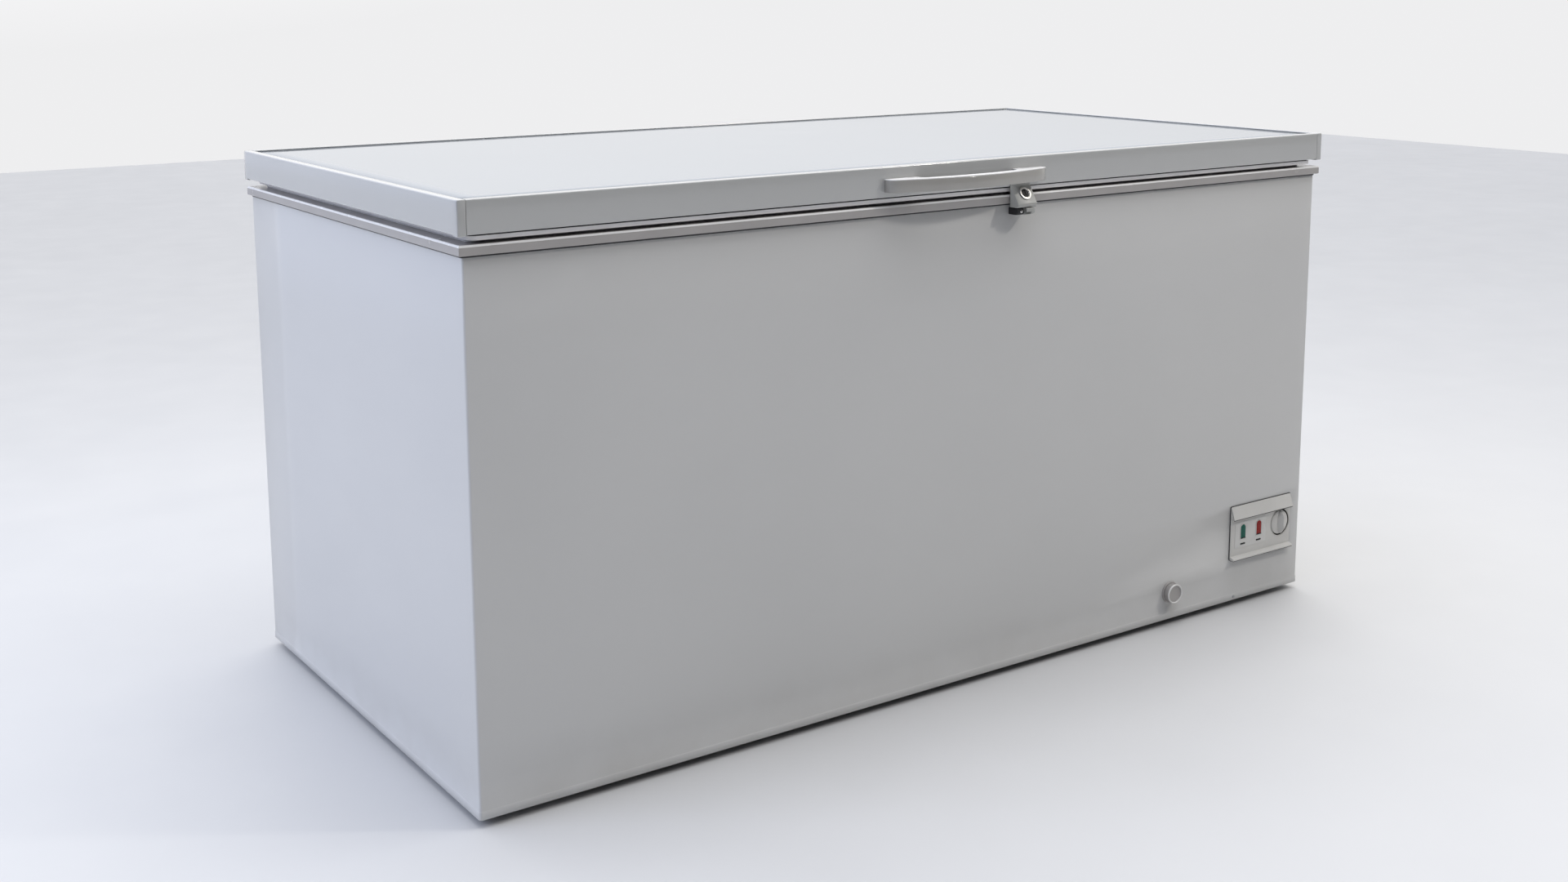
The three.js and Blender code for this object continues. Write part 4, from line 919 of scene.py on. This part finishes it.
def control_panel():
    """The dark strips under the lip and visor, the dark sills under the lenses and the black knob cup are painted
    shadow lines. They are not real parts. The black outline round the bezel is a painted shadow line too.
    """
    left, right = PANEL_LOW.x, PANEL_HIGH.x
    low, high = PANEL_LOW.z, PANEL_HIGH.z
    back = -CASE_Y - 0.3
    face = back - 2.2
    cup = 24.8
    holes = [arc((KNOB_X, KNOB_Z), cup, 0, 352.5, 47)]
    for node in LAMPS.values():
        lens_low, lens_high = in_mm(node)
        x = (lens_low.x + lens_high.x) / 2
        holes.append(arch(x, lens_low.z - 0.4, lens_high.z + 0.4, (lens_high.x - lens_low.x) / 2 + 0.4))
    plate("panel_bezel", [rounded_rect(left, right, low, high, 2.5)] + holes, face, back, "y",
        "panel_plastic", replaces=("control_bezel",), edge=0.5)

    # Black outline round the bezel: a painted shadow line for its shaded side walls.
    seal = 1.0
    plate("bezel_painted_shadow_outline", [rounded_rect(left - seal, right + seal, low - seal, high + seal, 3),
        rounded_rect(left - 0.05, right + 0.05, low - 0.05, high + 0.05, 2.5)], -CASE_Y - 1.3, -CASE_Y - 0.1,
        "y", "black_plastic", edge=0.2)

    visor_out = -419.2
    visor = Shape()
    visor.prism([(face + 0.3, high - 0.3), (visor_out, high - 20.6), (-420.0, high - 22.2),
        (visor_out, high - 23.0), (-418.0, high - 22.0), (face + 0.5, high - 4.0)], left + 0.3, right - 0.3,
        "x")
    for x in (left + 0.3, right - 2.3):
        visor.prism([(face + 0.3, high - 0.3), (-419.6, high - 21.5), (-419.0, high - 22.8),
            (face + 0.3, high - 22.8)], x, x + 2, "x")
    visor.piece("panel_visor", "panel_plastic", bevel=0.5, smooth=20)
    lip = Shape().prism([(face + 0.3, low), (-420.4, low), (-421, low + 0.8), (-420.6, low + 2.8),
        (-415.5, low + 5), (face + 0.3, low + 6.5)], left, right, "x")
    lip.piece("panel_lip", "panel_plastic", bevel=0.5, smooth=20)
    # Black strips under the lip and under the visor's edge: painted shadow lines.
    Shape().prism([(face + 0.4, low - 0.9), (-420.3, low - 0.9), (-420.6, low + 0.4),
        (face + 0.4, low + 0.4)], left + 0.4, right - 0.4, "x").piece("panel_lip_painted_shadow", "black_plastic",
        bevel=0.2)
    Shape().prism([(-417.6, high - 22.6), (-419.0, high - 24.2), (-419.6, high - 23.4),
        (-418.6, high - 22.0)], left + 0.8, right - 0.8, "x").piece("panel_visor_painted_shadow", "black_plastic",
        bevel=0.2)

    # The cup's black colour is painted shade for the recess round the knob.
    cup_shape = Shape()
    matrix = along((KNOB_X, 0, KNOB_Z), (0, -1, 0))
    floor = 403.2
    rim = -face
    cup_shape.turned([(4.6, floor), (cup - 2, floor), (cup - 0.6, floor + 1), (cup, floor + 2.4),
        (cup, rim - 0.2), (cup + 0.7, rim - 0.2), (cup + 1, floor - 0.6), (4.6, floor - 0.8)], matrix, 64)
    cup_shape.piece("knob_cup", "print_and_painted_shade_black", smooth=35)
    Shape().turned([(cup - 0.1, rim - 1.6), (cup - 0.1, rim), (cup + 0.3, rim + 0.35),
        (cup + 1.1, rim + 0.35), (cup + 1.5, rim - 0.1), (cup + 1.5, rim - 1.6)], matrix,
        64).piece("knob_cup_rim", "panel_plastic", smooth=35)

    knob = Shape()
    base = -KNOB_HIGH.y
    knob_back = 405.5
    radius = (KNOB_HIGH.x - KNOB_LOW.x) / 2
    knob.turned([(0, base), (3.1, base), (3.1, knob_back), (radius - 1, knob_back), (radius, knob_back + 0.8),
        (radius, knob_back + 4.5), (radius - 0.8, knob_back + 6.2), (radius - 3, knob_back + 7.2),
        (radius - 9, knob_back + 7.7), (0, knob_back + 7.8)], matrix, 64)
    knob.piece("knob_disc", "panel_plastic", "thermostat_knob", ("thermostat_knob",), smooth=30)
    front = -KNOB_LOW.y
    rings = []
    steps = 16
    foot, crest = knob_back + 7.0, front - 0.1
    for rise in (0, 0.2, 0.4, 0.6, 0.78, 0.9, 0.97, 1.0):
        depth = foot + (crest - foot) * rise
        reach = (radius - 1.6) * math.sqrt(1 - 0.72 * rise ** 2)
        wide = 8.6 * (1 - 0.93 * rise)
        ring = []
        for way in (1, -1):
            for i in range(steps):
                t = math.pi * i / steps
                ring.append((KNOB_X + way * wide * math.sin(t) ** 1.2, -depth,
                    KNOB_Z + way * reach * math.cos(t)))
        rings.append(ring)
    Shape().loft(rings).piece("knob_grip", "panel_plastic", "thermostat_knob", smooth=28)
    pointer = Shape().add(*cuboid(KNOB_X - 0.6, KNOB_X + 0.6, -knob_back - 7.7, -knob_back - 6.4,
        KNOB_Z + radius - 3.2, KNOB_Z + radius - 0.9))
    pointer.piece("knob_pointer", "print_and_painted_shade_black", "thermostat_knob", bevel=0.2)

    lens_x = [(in_mm(n)[0].x + in_mm(n)[1].x) / 2 for n in LAMPS.values()]
    lens_low, lens_high = in_mm("power_lens_green")
    label = rounded_rect(lens_x[0] - 21, lens_x[1] + 19, lens_low.z - 17, lens_high.z + 6, 3)
    cuts = [arch(x, lens_low.z - 1.9, lens_high.z + 1.9, 8.4) for x in lens_x]
    plate("lamp_label", [label] + cuts, face - 0.45, face + 0.1, "y", "label_film", edge=0.12)
    for x, (colour, node) in zip(lens_x, LAMPS.items()):
        surround = [arch(x, lens_low.z - 1.8, lens_high.z + 1.8, 8.3),
            arch(x, lens_low.z + 0.1, lens_high.z - 0.1, 6.4)]
        plate(f"lens_surround_{colour}", surround, face - 1.1, face + 0.1, "y", "pale_ring", edge=0.4)
        rings = [[(x + (px - x) * s, -d, (lens_low.z + lens_high.z) / 2
            + (pz - (lens_low.z + lens_high.z) / 2) * s) for px, pz in arch(x, lens_low.z, lens_high.z, 6.5)]
            for d, s in ((404, 1), (-face + 0.2, 1), (-face + 0.8, 0.97), (-face + 1.2, 0.85),
            (-face + 1.38, 0.6))]
        Shape().loft(rings).piece(f"lens_{colour}", f"{colour}_lens", "root", (node,), smooth=60)
        # Black band at each lens's foot: a painted shadow for the dark bottom of the recess.
        sill = (lens_low.z - 0.1, lens_low.z + 1.5)
        plate(f"lens_sill_{colour}", [rounded_rect(x - 6.3, x + 6.3, *sill, 0.4)], face - 1.7, face - 0.3,
            "y", "print_and_painted_shade_black", edge=0.2)
        dash = rounded_rect(x - 6.5, x + 6.5, lens_low.z - 11.6, lens_low.z - 8.4, 1)
        plate(f"lamp_dash_{colour}", [dash], face - 0.6, face - 0.3, "y", "print_and_painted_shade_black", edge=0.1)


# ---------------------------------------------------------------- drain
def drain():
    low, high = in_mm("drain_collar")
    x, z = (low.x + high.x) / 2, (low.z + high.z) / 2
    matrix = along((x, 0, z), (0, -1, 0))
    back = -high.y
    Shape().turned([(9, back), (19, back), (19, back + 1.4), (18.4, back + 2.2), (17, back + 2.6),
        (12, back + 2.6), (12, back + 10.8), (11.7, back + 11), (9, back + 11)], matrix,
        48).piece("drain_flange", "collar_plastic", "root", ("drain_collar",), smooth=35)
    cap_back = -in_mm("drain_cap")[1].y
    cap = Shape().turned([(12.7, cap_back), (16.4, cap_back), (16.8, cap_back + 0.6), (16.8, cap_back + 9.2),
        (14.4, cap_back + 9.4), (14.2, cap_back + 9.3), (13.6, cap_back + 9.2), (0, cap_back + 9.2),
        (0, cap_back + 8.6), (12.7, cap_back + 8.6)], matrix, 48)
    for i in range(24):
        a = 2 * math.pi * i / 24
        turn = matrix @ Matrix.Rotation(a, 4, "Z")
        cap.add(*cuboid(16.5, 16.98, -0.7, 0.7, cap_back + 1.4, cap_back + 9), turn)
    cap.piece("drain_screw_cap", "collar_plastic", "drain_cap", ("drain_cap",), smooth=35)
    # The cap's raised rim is real; its paler colour is a painted highlight.
    Shape().turned([(16.9, cap_back + 9.1), (16.9, cap_back + 10.6), (16.5, cap_back + 11.2),
        (15.8, cap_back + 11.4), (15.1, cap_back + 11.2), (14.7, cap_back + 10.6), (14.7, cap_back + 9.1)],
        matrix, 48).piece("drain_cap_rim", "painted_highlight_plastic", "drain_cap", smooth=50)
    low, high = in_mm("drain_stopper")
    x, y = (low.x + high.x) / 2, (low.y + high.y) / 2
    top = high.z
    Shape().turned([(0, low.z), (7.3, low.z), (8.2, low.z + 9), (8.4, 110.4), (15.6, 110.4), (16, 110.9),
        (15.8, 112), (14.5, 112.7), (6, 113.6), (4.2, 115.4), (4, 118.5), (5.2, 120.4), (6.6, 121.4),
        (6.7, 123.6), (5.4, top - 0.3), (0, top)], Matrix.Translation((x, y, 0)), 40).piece("drain_plug",
        "wheel_rubber", "drain_stopper", ("drain_stopper",), smooth=40)


# ---------------------------------------------------------------- hinges, wheels and small hardware
def hinge(side, x):
    low, high = in_mm(f"hinge_bracket_{side}")
    half, wall = 34.0, 2.2
    front, rear = low.y, high.y
    base, top = low.z, high.z
    ear = [(front, base), (rear, base), (rear, HINGE_Z - 3)]
    ear += [(rear - 10 * (1 - math.cos(a)), HINGE_Z - 3 + 15 * math.sin(a)) for a in (math.radians(15 * i)
        for i in range(1, 6))]
    ear += [(HINGE_Y - 10, top), (HINGE_Y - 13, top - 4), (HINGE_Y - 13, 773), (front, 773)]
    bracket = Shape()
    bracket.prism(ear, x - half, x - half + wall, "x").prism(ear, x + half - wall, x + half, "x")
    bracket.box(x - half + 0.5, x + half - 0.5, front + 0.05, front + wall, base + 0.1, 773)
    bracket.box(x - half + 0.5, x + half - 0.5, rear - wall, rear - 0.1, base + 0.1, HINGE_Z - 3)
    bracket.piece(f"hinge_housing_{side}", "steel", "root", (f"hinge_bracket_{side}",), bevel=0.7)
    pin = Shape()
    pin.turned([(0, -37), (3.4, -37), (4, -36.4), (4, 34), (4, 34.3), (6.3, 34.3), (6.6, 35), (5.6, 36.6),
        (0, 37)], along((x, HINGE_Y, HINGE_Z), (1, 0, 0)), 28)
    pin.piece(f"hinge_pin_{side}_turned", "bright_steel", "root", (f"hinge_pin_{side}",), smooth=35)

    leaf_low, leaf_high = in_mm(f"hinge_leaf_{side}")
    back = LID_Y + 0.3
    leaf = Shape()
    leaf.prism(rounded_rect(x - 29, x + 29, LID_BOTTOM + 3, LID_TOP - 4, 5), back, back + 3, "y")
    leaf.prism([(back, LID_BOTTOM + 8), (back, LID_BOTTOM + 2), (HINGE_Y - 7.5, HINGE_Z + 1),
        (HINGE_Y, HINGE_Z + 4.6), (HINGE_Y + 2, HINGE_Z + 7.5), (back + 3, LID_BOTTOM + 12)], x - 29, x - 2,
        "x")
    leaf.turned([(4.3, -13.5), (8, -13.5), (8, 13.5), (4.3, 13.5)], along((x - 15.5, HINGE_Y, HINGE_Z),
        (1, 0, 0)), 32)
    leaf.piece(f"hinge_lid_leaf_{side}", "steel", "lid", (f"hinge_leaf_{side}",), bevel=0.5)

    data = bpy.data.curves.new(f"hinge_coil_{side}", "CURVE")
    data.dimensions = "3D"
    data.bevel_depth = 1.45 * MM
    data.bevel_resolution = 3
    data.use_fill_caps = True
    spline = data.splines.new("POLY")
    turns, steps = 5, 5 * 20
    spline.points.add(steps)
    for i, point in enumerate(spline.points):
        a = 2 * math.pi * turns * i / steps
        point.co = ((x + 3 + 24 * i / steps) * MM, (HINGE_Y + 9 * math.cos(a)) * MM,
            (HINGE_Z + 9 * math.sin(a)) * MM, 1)
    coil = bpy.data.objects.new(f"hinge_coil_{side}", data)
    bpy.context.scene.collection.objects.link(coil)
    data.materials.append(MATERIALS["bright_steel"])
    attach(coil, "root")
    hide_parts(f"hinge_spring_{side}")


def caster(name):
    low, high = in_mm(f"caster_wheel_{name}")
    x, y, z = (low + high) / 2
    radius, half = 20.0, (high.y - low.y) / 2
    spin = along((x, y, z), (0, 1, 0))
    side = [(4.3, -half), (8, -half), (9, -half + 0.8), (10, -half + 2.4), (14, -half + 2.8),
        (15.5, -half + 1), (16.2, -half), (radius - 1.4, -half), (radius - 0.3, -half + 1.2),
        (radius, -half + 3)]
    Shape().turned(side + [(r, -h) for r, h in side[::-1]], spin, 64).piece(f"wheel_{name}", "wheel_rubber",
        f"caster_wheel_{name}", (f"caster_wheel_{name}",), smooth=40)
    spokes = Shape()
    for face in (-half + 1.6, half - 2.6):
        for i in range(5):
            spokes.add(*cuboid(8.6, 15.2, -1.1, 1.1, face, face + 1),
                spin @ Matrix.Rotation(2 * math.pi * i / 5, 4, "Z"))
    spokes.piece(f"wheel_spokes_{name}", "wheel_rubber", f"caster_wheel_{name}", bevel=0.3)
    cheek = half + 1.5
    top = in_mm(f"caster_bracket_{name}")[1].z
    fork = Shape().box(x - 24, x + 24, y - cheek - 2, y + cheek + 2, top - 2, top)
    for sign in (-1, 1):
        outline = [(x - 11, top - 1), (x - 7, 17)] + arc((x, z), 7.5, 200, 340, 8) + [(x + 7, 17),
            (x + 11, top - 1)]
        near, far = sorted((y + sign * cheek, y + sign * (cheek + 2)))
        fork.prism(outline, near, far, "y")
    fork.turned([(0, -cheek - 4), (4, -cheek - 4), (4, cheek + 4), (0, cheek + 4)], spin, 24)
    fork.piece(f"caster_fork_{name}", "steel", "root", (f"caster_bracket_{name}",), bevel=0.4)


def screw(shape, point, normal, radius=4.0):
    """A pan-head screw. Two crossed bars stand for its recess."""
    matrix = along(point, normal)
    shape.turned([(0, 0), (radius, 0), (radius, 0.6), (radius * 0.86, 1.3), (radius * 0.5, 1.7), (0, 1.8)],
        matrix, 24)
    for turn in (0, 90):
        shape.add(*cuboid(-radius * 0.45, radius * 0.45, -0.35, 0.35, 1.5, 1.95),
            matrix @ Matrix.Rotation(math.radians(turn), 4, "Z"))


def fasteners():
    front = Shape()
    screw(front, (653, -CASE_Y - 0.9, 18), (0, -1, 0), 3.0)
    front.piece("front_hem_screw", "steel", smooth=35)
    strike_low, strike_high = in_mm("lock_strike")
    catch = Shape()
    screw(catch, (strike_low.x + 6, strike_low.y + 5.0, 763), (0, -1, 0), 2.4)
    catch.piece("strike_screw", "bright_steel", smooth=35)
    rear = Shape()
    low, high = in_mm("rear_compressor_cover")
    for x in (low.x + 9, high.x - 9):
        for z in (low.z + 9, (low.z + high.z) / 2, high.z - 9):
            screw(rear, (x, low.y + 0.8, z), (0, 1, 0), 3.6)
    for x in (-CASE_X + 9, CASE_X - 9):
        for z in (60, 240, 420, 600, 740):
            screw(rear, (x, CASE_Y, z), (0, 1, 0), 3.2)
    rear.piece("rear_screws", "steel", smooth=35)
    for side, x in HINGES.items():
        leaf = Shape()
        for dx in (-20, 20):
            for z in (LID_BOTTOM + 13, LID_TOP - 13):
                screw(leaf, (x + dx, LID_Y + 3.3, z), (0, 1, 0), 3.8)
        leaf.piece(f"hinge_leaf_screws_{side}", "steel", "lid", smooth=35)
        seat = Shape()
        low, high = in_mm(f"hinge_bracket_{side}")
        for dx in (-14, 14):
            for z in (low.z + 22, low.z + 58):
                screw(seat, (x + dx, low.y + 2.2, z), (0, 1, 0), 4.0)
        seat.piece(f"hinge_housing_screws_{side}", "steel", smooth=35)


def cord_gland():
    low, high = in_mm("cord_gland")
    x, z = (low.x + high.x) / 2, (low.z + high.z) / 2
    back, end = low.y, high.y
    profile = [(3.6, back), (8, back), (8, CASE_Y + 0.3), (12, CASE_Y + 0.3), (12, CASE_Y + 2.4),
        (11, CASE_Y + 3.6)]
    taper = 5
    for i in range(taper):
        y = CASE_Y + 4 + i * 2.3
        radius = 8.4 - 0.5 * i
        profile += [(radius, y), (radius, y + 1.3), (radius - 1.1, y + 1.5), (radius - 1.1, y + 2.1)]
    profile += [(5.4, end - 0.6), (4.8, end), (3.6, end)]
    Shape().turned(profile, along((x, 0, z), (0, 1, 0)), 32).piece("cord_entry_gland", "black_plastic",
        "root", ("cord_gland",), smooth=35)


def paint_frame():
    """Every CAD node gets its slot's material."""
    slots = {entry["node"]: entry["material_slot"] for entry in frame["record"]["subparts"]}
    for name, node in frame["nodes"].items():
        node.data.materials.clear()
        node.data.materials.append(MATERIALS[slots[name]])


def make_floor():
    mesh = bpy.data.meshes.new("studio_floor")
    size = 9.0
    mesh.from_pydata([(-size, -size, 0), (size, -size, 0), (size, size, 0), (-size, size, 0)], [],
        [(0, 1, 2, 3)])
    mesh.materials.append(floor_material())
    floor = bpy.data.objects.new("studio_floor", mesh)
    bpy.context.scene.collection.objects.link(floor)


make_camera()
make_world()
make_lights()
make_floor()
bpy.context.scene.view_settings.view_transform = "Standard"
paint_frame()
cabinet_skin()
side_vent()
back_skin()
rear_cover()
collar()
inner_liner()
lid_frame()
lid_top()
lid_underside()
gasket()
handle()
lock()
strike()
control_panel()
drain()
for hinge_side, hinge_x in HINGES.items():
    hinge(hinge_side, hinge_x)
for corner in ("front_left", "front_right", "back_left", "back_right"):
    caster(corner)
fasteners()
cord_gland()
